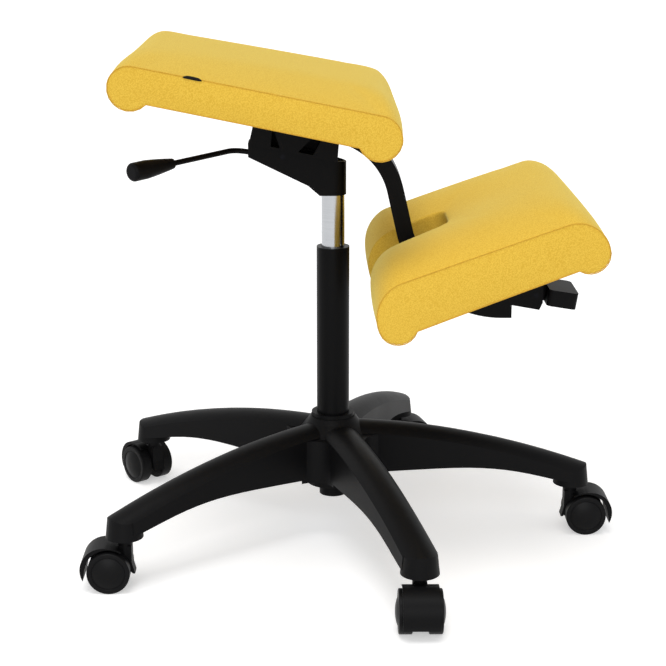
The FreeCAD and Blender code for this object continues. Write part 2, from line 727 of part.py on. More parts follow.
def lever_pin():
    """Pin that the lever rocks on."""
    half = HOUSING_WIDTH / 2
    return bar(at(-LEVER_PIVOT_BACK, pivot_height, -half), at(-LEVER_PIVOT_BACK, pivot_height, half),
               LEVER_PIN_DIAMETER)


def lever_path():
    """Line of the lever rod: straight out of the housing, then outwards to the sitter's right."""
    start = at(-LEVER_PIVOT_BACK, pivot_height, -LEVER_OFFSET)
    corner = lever_tail(-LEVER_OFFSET)
    end = corner + V(-LEVER_OUT, LEVER_BACK, -LEVER_DOWN)
    first = (start - corner).normalize()
    second = (end - corner).normalize()
    turn = math.pi - math.acos(first.dot(second))
    tangent = LEVER_BEND_RADIUS * math.tan(turn / 2)
    middle = (first + second).normalize()
    through = corner + middle * (LEVER_BEND_RADIUS / math.cos(turn / 2) - LEVER_BEND_RADIUS)
    return start, corner + first * tangent, through, corner + second * tangent, end


def lever_rod():
    """Bent rod of the height lever, up to the end of the grip's socket."""
    start, bend_start, through, bend_end, end = lever_path()
    stop = end - (end - bend_end).normalize() * GRIP_NOSE
    path = Part.Wire([Part.LineSegment(start, bend_start).toShape(),
                      Part.Arc(bend_start, through, bend_end).toShape(),
                      Part.LineSegment(bend_end, stop).toShape()])
    circle = Part.Wire(Part.makeCircle(LEVER_ROD_DIAMETER / 2, start, bend_start - start))
    rod = path.makePipeShell([circle], True, True)
    hub = bar(at(-LEVER_PIVOT_BACK, pivot_height, -HOUSING_WIDTH), at(-LEVER_PIVOT_BACK, pivot_height, 0),
              LEVER_ROD_STOP)
    return rod.cut(hub)


def lever_grip():
    """Moulded grip on the end of the lever rod."""
    start, bend_start, through, bend_end, end = lever_path()
    full = GRIP_DIAMETER / 2
    neck = GRIP_NECK_DIAMETER / 2
    lean = GRIP_ROUND * (1 - math.sqrt(0.5))
    steps = [V(0, 0, 0), V(full - GRIP_ROUND, 0, 0), (V(full - lean, 0, lean), V(full, 0, GRIP_ROUND)),
             V(full, 0, GRIP_LENGTH * GRIP_SHOULDER),
             (V((full + neck) / 2, 0, GRIP_LENGTH * GRIP_WAIST), V(neck, 0, GRIP_LENGTH)),
             V(0, 0, GRIP_LENGTH)]
    grip = Part.Face(outline(steps)).revolve(ORIGIN, UP, 360)
    back = (bend_end - end).normalize()
    grip.Placement = FreeCAD.Placement(end, FreeCAD.Rotation(UP, back))
    return grip.cut(bar(end + back * GRIP_NOSE, end + back * 2 * GRIP_LENGTH, LEVER_ROD_DIAMETER))


def lever_rocker():
    """Rocker on the pin, with a bar that reaches over the valve pin."""
    pivot = at(-LEVER_PIVOT_BACK, pivot_height)
    half = ROCKER_WIDTH / 2
    rocker = bar(pivot - ACROSS * half, pivot + ACROSS * half, ROCKER_DIAMETER)
    low = pin_top + SLIDING_GAP
    reach = block(at, (-LEVER_PIVOT_BACK, ROCKER_REACH), (low, low + ROCKER_BAR_HEIGHT),
                  (-ROCKER_BAR_WIDTH / 2, ROCKER_BAR_WIDTH / 2))
    rocker = rocker.fuse(reach)
    hole = bar(pivot - ACROSS * half, pivot + ACROSS * half, LEVER_PIN_DIAMETER + 2 * RUNNING_PLAY)
    return rocker.cut(hole).cut(lever_rod()).removeSplitter()


def seat_bracket():
    """Channel on the housing: floor, two windowed cheeks that grip the arm, and flanges for the seat."""
    floor_low = -HOUSING_TOP
    floor_high = floor_low + BRACKET_PLATE
    span = (-BRACKET_REAR, BRACKET_FRONT)
    channel = block(seat_at, span, (floor_low, floor_high), (-bracket_outer, bracket_outer))
    cheek = [seat_at(-BRACKET_REAR, floor_low), seat_at(BRACKET_FRONT, floor_low),
             seat_at(BRACKET_TOP_FRONT, 0), seat_at(-BRACKET_TOP_REAR, 0)]
    flange_edge = bracket_outer + BRACKET_FLANGE
    for side in (-1, 1):
        low, high = sorted((side * bracket_inner, side * bracket_outer))
        channel = channel.fuse(slab(cheek, low, high))
        low, high = sorted((side * bracket_inner, side * flange_edge))
        channel = channel.fuse(block(seat_at, (-BRACKET_TOP_REAR, BRACKET_TOP_FRONT),
                                     (-FLANGE_THICKNESS, 0), (low, high)))
    sill = floor_low + WINDOW_SILL
    for corners in (REAR_WINDOW, FRONT_WINDOW):
        heights = (-WINDOW_TOP, -WINDOW_TOP, sill, sill)
        window = [seat_at(along, above) for along, above in zip(corners, heights)]
        channel = channel.cut(slab(window, -flange_edge, flange_edge))
    arm_underside = -ARM_BELOW_SEAT - ARM_THICKNESS
    rib = block(seat_at, (-BRACKET_TOP_REAR, 0), (floor_low, arm_underside),
                (BRACKET_RIB_ACROSS, BRACKET_RIB_ACROSS + BRACKET_RIB))
    channel = channel.fuse(rib.cut(slab(arm_profile(0), -bracket_inner, bracket_inner)))
    through = (floor_low - BRACKET_PLATE, floor_high + BRACKET_PLATE)
    room = ROCKER_BAR_WIDTH / 2 + ROCKER_ROOM
    rear = -LEVER_PIVOT_BACK - ROCKER_DIAMETER
    slot = block(seat_at, (rear, BRACKET_FRONT + ROCKER_DIAMETER), through, (-room, room))
    hub_half = ROCKER_WIDTH / 2 + ROCKER_ROOM / 2
    hub_room = block(seat_at, (rear, rear + 2 * ROCKER_DIAMETER), through, (-hub_half, hub_half))
    channel = channel.cut(slot).cut(hub_room)
    for shaft in arm_bolt_shafts() + seat_screw_shafts():
        channel = channel.cut(shaft)
    return channel.removeSplitter()


# Carrier arm

def arm_line(offset):
    """Corner and tangent points of the arm's line, moved sideways from its middle by the offset."""
    tilt = math.radians(SEAT_TILT)
    lean = math.radians(ARM_LEAN)
    upper = ARM_UPPER_RADIUS + offset
    lower = ARM_LOWER_RADIUS - offset
    lower_centre = at(ARM_REACH, arm_low + ARM_LOWER_RADIUS)
    down = V(0, -math.cos(lean), -math.sin(lean))
    outward = V(0, math.sin(lean), -math.cos(lean))
    middle = seat_at(0, -ARM_BELOW_SEAT - ARM_THICKNESS / 2)
    slope = V(0, -math.cos(tilt), -math.sin(tilt))
    foot = lower_centre + outward * ARM_LOWER_RADIUS
    gap = middle - foot
    run = (gap.y * slope.z - gap.z * slope.y) / (down.y * slope.z - down.z * slope.y)
    corner = foot + down * run
    tangent = ARM_UPPER_RADIUS * math.tan((lean - tilt) / 2)
    bend_start = corner - slope * tangent
    upper_centre = bend_start + V(0, math.sin(tilt), -math.cos(tilt)) * ARM_UPPER_RADIUS
    rise = V(0, -math.sin(tilt), math.cos(tilt))
    half_turn = (tilt + lean) / 2
    start = seat_at(-ARM_REAR, -ARM_BELOW_SEAT - ARM_THICKNESS / 2 + offset)
    bend_in = upper_centre + rise * upper
    bend_mid = upper_centre + V(0, -math.sin(half_turn), math.cos(half_turn)) * upper
    bend_out = upper_centre - outward * upper
    sweep_in = lower_centre + outward * lower
    sweep_mid = lower_centre + V(0, math.sin(lean / 2), -math.cos(lean / 2)) * lower
    sweep_out = lower_centre - UP * lower
    end = at(arm_end, sweep_out.z)
    return start, bend_in, bend_mid, bend_out, sweep_in, sweep_mid, sweep_out, end


def arm_profile(inset):
    """Side outline of the arm, drawn in from its faces by the inset."""
    half = ARM_THICKNESS / 2 - inset
    top = arm_line(half)
    low = arm_line(-half)
    return [top[0], top[1], (top[2], top[3]), top[4], (top[5], top[6]), top[7],
            low[7], low[6], (low[5], low[4]), low[3], (low[2], low[1]), low[0]]


def carrier_arm():
    """Bent rectangular tube from under the seat, down through the knee rest."""
    half = ARM_WIDTH / 2
    tube = slab(arm_profile(0), -half, half)
    tube = tube.cut(slab(arm_profile(ARM_WALL), -half + ARM_WALL, half - ARM_WALL))
    for shaft in arm_bolt_shafts():
        tube = tube.cut(shaft)
    return tube


def arm_end_caps():
    """Plugs in the two ends of the arm."""
    half = ARM_WIDTH / 2
    inner = half - ARM_WALL
    thick = ARM_THICKNESS / 2
    mid = -ARM_BELOW_SEAT - thick
    rear = block(seat_at, (-ARM_REAR - CAP_FLANGE, -ARM_REAR), (mid - thick, mid + thick), (-half, half))
    rear = rear.fuse(block(seat_at, (-ARM_REAR, -ARM_REAR + CAP_DEPTH),
                           (mid - thick + ARM_WALL, mid + thick - ARM_WALL), (-inner, inner)))
    plug = thick - ARM_WALL

    def level(along, above):
        return at(along, arm_low + above)

    front = block(level, (arm_end, arm_end + CAP_FLANGE), (-thick, thick), (-half, half))
    depth = min(CAP_DEPTH, ARM_TAIL)
    front = front.fuse(block(level, (arm_end - depth, arm_end), (-plug, plug), (-inner, inner)))
    return group([rear.removeSplitter(), front.removeSplitter()])


def arm_bolt_shafts():
    """Cross bolts through the bracket's cheeks and the arm."""
    shafts = []
    for back in ARM_BOLTS_BACK:
        above = -ARM_BELOW_SEAT - ARM_THICKNESS / 2
        shafts.append(bar(seat_at(-back, above, -bracket_outer),
                          seat_at(-back, above, bracket_outer + 2 * BOLT_HEAD_HEIGHT), BOLT_DIAMETER))
    return shafts


def arm_bolts():
    """Cross bolts with hexagon heads on the right."""
    bolts = []
    for back, shaft in zip(ARM_BOLTS_BACK, arm_bolt_shafts()):
        centre = seat_at(-back, -ARM_BELOW_SEAT - ARM_THICKNESS / 2, -bracket_outer)
        bolts.append(shaft.fuse(hexagon(centre, ACROSS * -1, BOLT_HEAD, BOLT_HEAD_HEIGHT)).removeSplitter())
    return group(bolts)


def arm_nuts():
    """Nuts of the cross bolts on the left."""
    nuts = []
    for back, shaft in zip(ARM_BOLTS_BACK, arm_bolt_shafts()):
        centre = seat_at(-back, -ARM_BELOW_SEAT - ARM_THICKNESS / 2, bracket_outer)
        nuts.append(hexagon(centre, ACROSS, BOLT_HEAD, BOLT_HEAD_HEIGHT).cut(shaft))
    return group(nuts)


# Seat pad

seat_front = SEAT_LENGTH - SEAT_BACK
rear_roll = -SEAT_BACK + SEAT_ROLL_RADIUS
front_roll = seat_front - SEAT_ROLL_RADIUS
roll_reach = math.sqrt(SEAT_ROLL_RADIUS ** 2 - SEAT_ROLL_CENTRE ** 2)


def seat_section(across, fullness):
    """Side outline of the seat cushion at one distance across, between seam (0) and middle (1)."""
    diagonal = SEAT_ROLL_RADIUS * math.sqrt(0.5)
    rear_swell = SEAT_CROWN_REAR * fullness
    front_swell = SEAT_CROWN_FRONT * fullness
    rear_top = SEAT_TOP_REAR + rear_swell
    front_top = SEAT_TOP_FRONT + front_swell
    top_middle = (rear_top + front_top) / 2 + LEAST_BOW + CROWN_BOW * fullness
    end = END_SWELL * fullness

    def point(along, above):
        return seat_at(along, above, across)

    return outline([
        point(rear_roll + roll_reach, 0),
        (point(rear_roll - diagonal - end / 2, SEAT_ROLL_CENTRE - diagonal),
         point(-SEAT_BACK - end, SEAT_ROLL_CENTRE)),
        (point(rear_roll - diagonal - end, SEAT_ROLL_CENTRE + diagonal + rear_swell * ROLL_SWELL),
         point(rear_roll, rear_top)),
        (point((rear_roll + front_roll) / 2, top_middle), point(front_roll, front_top)),
        (point(front_roll + diagonal + end, SEAT_ROLL_CENTRE + diagonal + front_swell * ROLL_SWELL),
         point(seat_front + end, SEAT_ROLL_CENTRE)),
        (point(front_roll + diagonal + end / 2, SEAT_ROLL_CENTRE - diagonal),
         point(front_roll - roll_reach, 0))])


def drawn_sides(frame, width, along, below, above):
    """Shallow hollows that draw a cushion's two sides in between its corners."""
    half_length = (along[1] - along[0]) / 2
    middle = (along[0] + along[1]) / 2
    radius = (half_length ** 2 + SIDE_DRAW ** 2) / (2 * SIDE_DRAW)
    cutters = []
    for side in (-1, 1):
        foot = frame(middle, below, side * (width / 2 - SIDE_DRAW + radius))
        top = frame(middle, above, side * (width / 2 - SIDE_DRAW + radius))
        cutters.append(Part.makeCylinder(radius, (top - foot).Length, foot, top - foot))
    return cutters


def crowned(section, width):
    """A cushion lofted across the chair, fullest in the middle."""
    sections = []
    for share in CROWN_STATIONS:
        sections.append(section(share * width / 2, 1 - abs(share) ** CROWN_POWER))
    return Part.makeLoft(sections, True, False)


def seat_board_block():
    """Plywood board that the seat is built on."""
    half = SEAT_WIDTH / 2 - BOARD_MARGIN
    return block(seat_at, (rear_roll + roll_reach, front_roll - roll_reach), (0, BOARD_THICKNESS),
                 (-half, half))


def seat_reliefs():
    """Room in the foam for the arm, the bracket and the screws, where they reach past the board."""
    half = ARM_WIDTH / 2 + FOAM_CLEARANCE
    edge = bracket_outer + BRACKET_FLANGE + FOAM_CLEARANCE
    bracket = block(seat_at, (-BRACKET_REAR - FOAM_CLEARANCE, BRACKET_FRONT + FOAM_CLEARANCE),
                    (-HOUSING_TOP, 0), (-edge, edge))
    return [slab(arm_profile(-FOAM_CLEARANCE), -half, half), bracket] + seat_screw_shafts()


def seat_cushion():
    """Seat pad with a roll along its front and rear edges."""
    pad = crowned(seat_section, SEAT_WIDTH)
    sides = drawn_sides(seat_at, SEAT_WIDTH, (-SEAT_BACK, seat_front), -SEAT_WIDTH, SEAT_WIDTH)
    for cutter in sides + [seat_board_block()] + seat_reliefs():
        pad = pad.cut(cutter)
    return pad


def seat_board():
    """Seat board with its screw holes."""
    board = seat_board_block()
    for shaft in seat_screw_shafts():
        board = board.cut(shaft)
    return board


def seat_tag():
    """Plain cloth tag in the seam on the sitter's right."""
    outer = -SEAT_WIDTH / 2
    tag = block(seat_at, (-TAG_BACK - TAG_LENGTH / 2, -TAG_BACK + TAG_LENGTH / 2),
                (SEAT_TOP_REAR + TAG_STANDS - TAG_HEIGHT, SEAT_TOP_REAR + TAG_STANDS),
                (outer - TAG_THICKNESS, outer + 2 * SIDE_DRAW))
    return tag.cut(seat_cushion())


def screw_shafts(frame, places, depth):
    """Screw shafts square to a board, from under it into its thickness."""
    return [bar(frame(along, low, across), frame(along, depth, across), SCREW_DIAMETER)
            for along, low, across in places]


def seat_screw_places():
    """Screws through the bracket's flanges."""
    across = bracket_outer + BRACKET_FLANGE / 2
    return [(-back, -FLANGE_THICKNESS, side * across) for back in SEAT_SCREWS_BACK for side in (-1, 1)]


def seat_screw_shafts():
    return screw_shafts(seat_at, seat_screw_places(), SCREW_DEPTH)


def headed_screws(frame, places, depth):
    """Screws with round heads below the plate that they hold."""
    screws = []
    for (along, low, across), shaft in zip(places, screw_shafts(frame, places, depth)):
        head = bar(frame(along, low - SCREW_HEAD_HEIGHT, across), frame(along, low, across), SCREW_HEAD)
        screws.append(head.fuse(shaft).removeSplitter())
    return group(screws)


def seat_screws():
    return headed_screws(seat_at, seat_screw_places(), SCREW_DEPTH)


# Knee pad

knee_roll_low = -KNEE_UNDERSIDE - KNEE_ROLL_SAG
knee_roll_centre = knee_roll_low + KNEE_ROLL_RADIUS
knee_roll_reach = math.sqrt(KNEE_ROLL_RADIUS ** 2 - (KNEE_ROLL_RADIUS - KNEE_ROLL_SAG) ** 2)
knee_rear_roll = -KNEE_BACK + KNEE_ROLL_RADIUS
knee_front_roll = KNEE_FRONT - KNEE_ROLL_RADIUS


def knee_section(across, fullness):
    """Side outline of the knee cushion at one distance across, between seam (0) and middle (1).

    The cover is pulled down into the slot, so the rear is lower in the middle.
    """
    ease = math.sqrt(0.5)
    small = KNEE_ROLL_RADIUS * ease
    rear_swell = KNEE_CROWN_REAR * fullness - SLOT_DIP * math.exp(-(across / SLOT_DIP_REACH) ** 2)
    front_swell = KNEE_CROWN_FRONT * fullness
    rear_along = -KNEE_BACK + KNEE_REAR_ROUND
    front_along = KNEE_FRONT - KNEE_FRONT_ROUND
    rear_top = KNEE_TOP_REAR + rear_swell
    front_top = KNEE_TOP_FRONT + front_swell
    top_middle = (rear_top + front_top) / 2 + LEAST_BOW + CROWN_BOW * fullness
    rear_shoulder = knee_roll_centre + (KNEE_TOP_REAR - knee_roll_centre) * ease + rear_swell * ROLL_SWELL
    front_shoulder = knee_roll_centre + (KNEE_TOP_FRONT - knee_roll_centre) * ease + front_swell * ROLL_SWELL
    end = END_SWELL * fullness

    def point(along, above):
        return knee_at(along, above, across)

    return outline([
        point(knee_rear_roll + knee_roll_reach, -KNEE_UNDERSIDE),
        (point(knee_rear_roll - small - end / 2, knee_roll_centre - small),
         point(-KNEE_BACK - end, knee_roll_centre)),
        (point(rear_along - KNEE_REAR_ROUND * ease - end, rear_shoulder), point(rear_along, rear_top)),
        (point((rear_along + front_along) / 2, top_middle), point(front_along, front_top)),
        (point(front_along + KNEE_FRONT_ROUND * ease + end, front_shoulder),
         point(KNEE_FRONT + end, knee_roll_centre)),
        (point(knee_front_roll + small + end / 2, knee_roll_centre - small),
         point(knee_front_roll - knee_roll_reach, -KNEE_UNDERSIDE))])


def knee_slot(widen):
    """Open slot in the rear of the knee rest, with rounded inner corners."""
    half = SLOT_WIDTH / 2 + widen
    end = -SLOT_BACK + widen
    corner = SLOT_CORNER
    ease = corner * (1 - math.sqrt(0.5))
    back = -KNEE_BACK - SLOT_WIDTH
    low = -KNEE_UNDERSIDE - SLOT_WIDTH

    def point(along, across):
        return knee_at(along, low, across)

    face = Part.Face(outline([
        point(back, -half), point(end - corner, -half),
        (point(end - ease, -half + ease), point(end, -half + corner)), point(end, half - corner),
        (point(end - ease, half - ease), point(end - corner, half)), point(back, half)]))
    return face.extrude(knee_at(0, SLOT_WIDTH) - knee_at(0, low))


def knee_board_block():
    """Plywood board of the knee rest, slotted for the arm."""
    half = KNEE_WIDTH / 2 - BOARD_MARGIN
    board = block(knee_at, (knee_rear_roll + knee_roll_reach, knee_front_roll - knee_roll_reach),
                  (-KNEE_UNDERSIDE, -KNEE_UNDERSIDE + BOARD_THICKNESS), (-half, half))
    return board.cut(knee_slot(BOARD_MARGIN / 2))


def knee_cushion():
    """Knee pad with rolled front and rear edges and a slot for the arm."""
    pad = crowned(knee_section, KNEE_WIDTH)
    for cutter in drawn_sides(knee_at, KNEE_WIDTH, (-KNEE_BACK, KNEE_FRONT), -KNEE_WIDTH, KNEE_WIDTH):
        pad = pad.cut(cutter)
    return pad.cut(knee_slot(0)).cut(knee_board_block())


def knee_board():
    """Knee board with its screw holes."""
    board = knee_board_block()
    for shaft in knee_screw_shafts():
        board = board.cut(shaft)
    return board


def knee_screw_places():
    """Screws through the runner's outer edges."""
    across = (runner_inner + RUNNER_WALL + RUNNER_WIDTH / 2) / 2
    low = runner_top - RUNNER_PLATE
    return [(along, low, side * across) for along in KNEE_SCREWS_ALONG for side in (-1, 1)]


def knee_screw_shafts():
    return screw_shafts(knee_at, knee_screw_places(), runner_top + SCREW_DEPTH)


def knee_screws():
    return headed_screws(knee_at, knee_screw_places(), runner_top + SCREW_DEPTH)


# Knee slide

def knee_runner():
    """Channel under the knee board whose lips hook under the track."""
    span = (-RUNNER_REAR, RUNNER_FRONT)
    runner = block(knee_at, span, (runner_top - RUNNER_PLATE, runner_top),
                   (-RUNNER_WIDTH / 2, RUNNER_WIDTH / 2))
    lip_high = track_bottom - SLIDING_GAP
    lip_low = lip_high - RUNNER_WALL
    for side in (-1, 1):
        outer = side * (runner_inner + RUNNER_WALL)
        low, high = sorted((side * runner_inner, outer))
        runner = runner.fuse(block(knee_at, span, (lip_low, runner_top), (low, high)))
        low, high = sorted((outer - side * RUNNER_LIP, outer))
        runner = runner.fuse(block(knee_at, span, (lip_low, lip_high), (low, high)))
    for shaft in knee_screw_shafts():
        runner = runner.cut(shaft)
    return runner.removeSplitter()


def paddle_axis():
    """Centre of the paddle's hinge, below and ahead of the clamp pin."""
    lead = math.radians(CAM_LEAD)
    along = CLAMP_ALONG + CAM_OFFSET * math.sin(lead)
    above = clamp_bottom - SLIDING_GAP - CAM_RADIUS - CAM_OFFSET * math.cos(lead)
    return along, above


def cheek_outline():
    """Side outline of the bracket between the arm's top face and the track."""
    centre_up = arm_low + ARM_LOWER_RADIUS
    top_radius = ARM_LOWER_RADIUS - ARM_THICKNESS / 2

    def on_arm(back):
        return at(ARM_REACH - back, centre_up - math.sqrt(top_radius ** 2 - back ** 2))

    ahead = arm_end + CAP_FLANGE
    nose = arm_end + CHEEK_NOSE_REACH
    return [on_arm(CHEEK_BACK), (on_arm(CHEEK_BACK / 2), on_arm(0)), at(ahead, on_arm(0).z),
            at(ahead, arm_low + CHEEK_NOSE_DROP), at(nose, arm_low),
            at(nose + CHEEK_NOSE_LEAN, arm_low + CHEEK_NOSE_HEIGHT),
            knee_at(TRACK_FRONT, track_bottom), knee_at(-TRACK_REAR, track_bottom)]


def knee_bracket():
    """Wedge bracket on the arm's lower end: two cheeks, a saddle and the sloping track."""
    half = ARM_WIDTH / 2
    sides = cheek_outline()
    bracket = block(knee_at, (-TRACK_REAR, TRACK_FRONT), (track_bottom, track_top),
                    (-TRACK_WIDTH / 2, TRACK_WIDTH / 2))
    bracket = bracket.fuse(slab(sides, -half, -half + CHEEK_THICKNESS))
    bracket = bracket.fuse(slab(sides, half - CHEEK_THICKNESS, half))
    centre = at(ARM_REACH, arm_low + ARM_LOWER_RADIUS)
    top_radius = ARM_LOWER_RADIUS - ARM_THICKNESS / 2
    left = centre + ACROSS * half
    right = centre - ACROSS * half
    saddle = bar(right, left, 2 * top_radius).cut(bar(right, left, 2 * (top_radius - CHEEK_THICKNESS)))
    over_bend = block(at, (0, ARM_REACH), (0, centre.z), (-half, half))
    bracket = bracket.fuse(saddle.common(slab(sides, -half, half)).common(over_bend))
    arm_top = arm_low + ARM_THICKNESS / 2
    bracket = bracket.fuse(block(at, (ARM_REACH, arm_end), (arm_top, arm_top + CHEEK_THICKNESS),
                                 (-half, half)))
    along, above = paddle_axis()
    pin = bar(knee_at(along, above, -half), knee_at(along, above, half), PADDLE_PIN_DIAMETER)
    clamp = bar(knee_at(CLAMP_ALONG, clamp_bottom), knee_at(CLAMP_ALONG, 0),
                CLAMP_DIAMETER + 2 * RUNNING_PLAY)
    return bracket.cut(pin).cut(clamp).removeSplitter()


def clamp_pin():
    """Pin that presses up on the runner and locks the slide."""
    shaft = bar(knee_at(CLAMP_ALONG, clamp_bottom), knee_at(CLAMP_ALONG, track_top), CLAMP_DIAMETER)
    head = bar(knee_at(CLAMP_ALONG, clamp_bottom), knee_at(CLAMP_ALONG, clamp_bottom + CLAMP_HEAD_HEIGHT),
               CLAMP_HEAD_DIAMETER)
    return shaft.fuse(head).removeSplitter()


def paddle_pin():
    """Hinge pin of the paddle."""
    along, above = paddle_axis()
    half = ARM_WIDTH / 2
    return bar(knee_at(along, above, -half), knee_at(along, above, half), PADDLE_PIN_DIAMETER)


def knee_paddle():
    """Paddle under the front of the knee rest, with the cam that works the clamp."""
    along, above = paddle_axis()
    hinge = knee_at(along, above)
    lead = math.radians(CAM_LEAD)
    cam_centre = knee_at(along - CAM_OFFSET * math.sin(lead), above + CAM_OFFSET * math.cos(lead))
    half_cam = CAM_WIDTH / 2
    cam = bar(cam_centre - ACROSS * half_cam, cam_centre + ACROSS * half_cam, 2 * CAM_RADIUS)
    cam = cam.fuse(bar(hinge - ACROSS * half_cam, hinge + ACROSS * half_cam, 2 * CAM_RADIUS))
    front = -hinge.y
    top = hinge.z + CAM_RADIUS + PADDLE_RISE
    start = front + PADDLE_NECK
    half = PADDLE_WIDTH / 2
    neck = block(at, (front, start + PADDLE_WALL), (top - PADDLE_HEIGHT, top), (-half_cam, half_cam))
    plate = block(at, (start, start + PADDLE_LENGTH), (top - PADDLE_HEIGHT, top), (-half, half))
    upright = [edge for edge in plate.Edges if edge.BoundBox.ZLength > PADDLE_HEIGHT / 2]
    plate = plate.makeFillet(PADDLE_ROUND, upright)
    inner = half - PADDLE_WALL
    hollow = block(at, (start + PADDLE_WALL, start + PADDLE_LENGTH - PADDLE_WALL),
                   (top - PADDLE_HEIGHT, top - PADDLE_WALL), (-inner, inner))
    plate = plate.cut(hollow).fuse(neck)
    plate.rotate(hinge, ACROSS, PADDLE_DROOP)
    hole = bar(hinge - ACROSS * half, hinge + ACROSS * half, PADDLE_PIN_DIAMETER + 2 * RUNNING_PLAY)
    return plate.fuse(cam).cut(hole).removeSplitter()


def build():
    """Every node of the chair by name."""
    nodes = {
        "star_base": star_base(),
        "hub_ring": hub_ring(),
        "column_tube": column_tube(),
        "column_bush": column_bush(),
        "castor_stems": group([on_leg(castor_stem(), angle) for angle in LEG_ANGLES]),
        "castor_grip_rings": group([on_leg(grip_ring(), angle) for angle in LEG_ANGLES]),
        "thrust_race_lower": ring(RACE_DIAMETER, race_bore, tube_floor, RACE_THICKNESS),
        "thrust_balls": thrust_balls(),
        "thrust_race_upper": ring(RACE_DIAMETER, race_bore, upper_race_bottom, RACE_THICKNESS),
        "piston_rod": piston_rod(),
        "piston_head": piston_head(),
        "rod_clip": rod_clip(),
        "gas_cylinder": gas_cylinder(),
        "rod_guide": rod_guide(),
        "release_pin": release_pin(),
        "mechanism_housing": mechanism_housing(),
        "lever_pin": lever_pin(),
        "lever_rocker": lever_rocker(),
        "lever_rod": lever_rod(),
        "lever_grip": lever_grip(),
        "seat_bracket": seat_bracket(),
        "carrier_arm": carrier_arm(),
        "arm_end_caps": arm_end_caps(),
        "arm_bolts": arm_bolts(),
        "arm_nuts": arm_nuts(),
        "seat_board": seat_board(),
        "seat_cushion": seat_cushion(),
        "seat_tag": seat_tag(),
        "seat_screws": seat_screws(),
        "knee_bracket": knee_bracket(),
        "knee_runner": knee_runner(),
        "knee_board": knee_board(),
        "knee_cushion": knee_cushion(),
        "knee_screws": knee_screws(),
        "clamp_pin": clamp_pin(),
        "knee_paddle": knee_paddle(),
        "paddle_pin": paddle_pin(),
    }
    for number, (angle, heading) in enumerate(zip(LEG_ANGLES, CASTOR_HEADINGS), start=1):
        for name, piece in castor_pieces(angle, heading).items():
            nodes["castor_%d_%s" % (number, name)] = piece
    return nodes


for name, shape in build().items():
    shape.exportStep("parts/%s.step" % name)
    print(name, len(shape.Solids), round(shape.Volume), shape.isValid())
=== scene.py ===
# %% [markdown]
# A kneeling office chair, dressed for the camera. The hard parts come from a measured model that is
# loaded as a fixed frame: nothing in it is moved, and its pieces only get better finishes. The two
# upholstered pads are soft, so they are made here, as cloth that is blown up between its seams.

# %% Load the frame
import json
import math

import bmesh
import bpy
import numpy
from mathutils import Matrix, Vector


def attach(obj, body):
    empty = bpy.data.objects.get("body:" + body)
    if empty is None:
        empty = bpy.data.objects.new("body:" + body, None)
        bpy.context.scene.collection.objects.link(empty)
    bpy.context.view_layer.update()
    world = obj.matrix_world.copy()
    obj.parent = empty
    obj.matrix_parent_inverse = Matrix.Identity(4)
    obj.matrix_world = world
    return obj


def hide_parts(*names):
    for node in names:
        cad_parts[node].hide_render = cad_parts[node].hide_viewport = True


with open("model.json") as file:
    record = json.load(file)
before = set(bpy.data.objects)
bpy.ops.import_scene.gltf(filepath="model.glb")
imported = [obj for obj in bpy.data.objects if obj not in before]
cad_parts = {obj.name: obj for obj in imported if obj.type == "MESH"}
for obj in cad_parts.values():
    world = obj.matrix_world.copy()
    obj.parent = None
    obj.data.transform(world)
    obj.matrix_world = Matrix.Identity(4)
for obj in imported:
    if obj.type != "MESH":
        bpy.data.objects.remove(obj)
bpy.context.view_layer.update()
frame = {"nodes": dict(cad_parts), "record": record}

# %% [markdown]
# Colours are easiest to pick as the sRGB hex values that a paint program shows, but shaders work with
# linear light. One function makes that change for every finish. A second one adds a shader node with its
# settings and links in one call, so that each finish reads as a short list of what it is made of.

# %% Helpers for colours and nodes
MM = 0.001


def linear(hex_colour):
    """An sRGB hex colour as linear red, green, blue and alpha."""
    values = [int(hex_colour[i:i + 2], 16) / 255 for i in (1, 3, 5)]
    return [v / 12.92 if v <= 0.04045 else ((v + 0.055) / 1.055) ** 2.4 for v in values] + [1.0]


def add(tree, kind, inputs=None, **settings):
    """Adds a node, sets its options, and sets or links each input that is named or numbered."""
    node = tree.nodes.new(kind)
    for key, value in settings.items():
        setattr(node, key, value)
    for key, value in (inputs or {}).items():
        if isinstance(value, bpy.types.NodeSocket):
            tree.links.new(value, node.inputs[key])
        else:
            node.inputs[key].default_value = value
    return node


def per_metre(size_mm):
    """How many repeats of a size fit in a metre, which is a noise texture's scale."""
    return 1000 / size_mm


def start_finish(name):
    """An empty material, its node tree, and the coordinates of the object that wears it, in metres."""
    material = bpy.data.materials.new(name)
    material.use_nodes = True
    material.node_tree.nodes.clear()
    return material, material.node_tree, add(material.node_tree, "ShaderNodeTexCoord").outputs["Object"]


# A colour mix has its own sockets among those of the other kinds, so they go by number.
MIX_SHARE, MIX_LOW, MIX_HIGH, MIX_RESULT = 0, 6, 7, 2
print("a mid grey is", [round(v, 3) for v in linear("#808080")[:3]], "in linear light")

# %% [markdown]
# The pads wear a crepe-woven polyester. A crepe has no lines in it: its short floats of yarn lie in
# scattered order, like a fine pebble grain. Cells of a Voronoi texture look like that, each one a float that
# is light on its back and darker at its edges. Real floats are about a millimetre long, and here they are
# 1.3 mm, the finest that the picture can hold. The fuzz on the yarn catches light at a low angle, which is
# why a top looks paler than a side: that is the shader's sheen.

# %% Upholstery fabric
FLOAT_MM = 1.3
SLUB_MM = 3.0
SLUB_SHARE = 0.2
FLOAT_EDGE, FLOAT_BACK = 0.80, 0.15         # what the texture gives at a float's edge and on its back
FLOAT_RELIEF, FLOAT_HEIGHT_MM = 0.35, 0.4
FUZZ_TINT = "#FFFFA4"


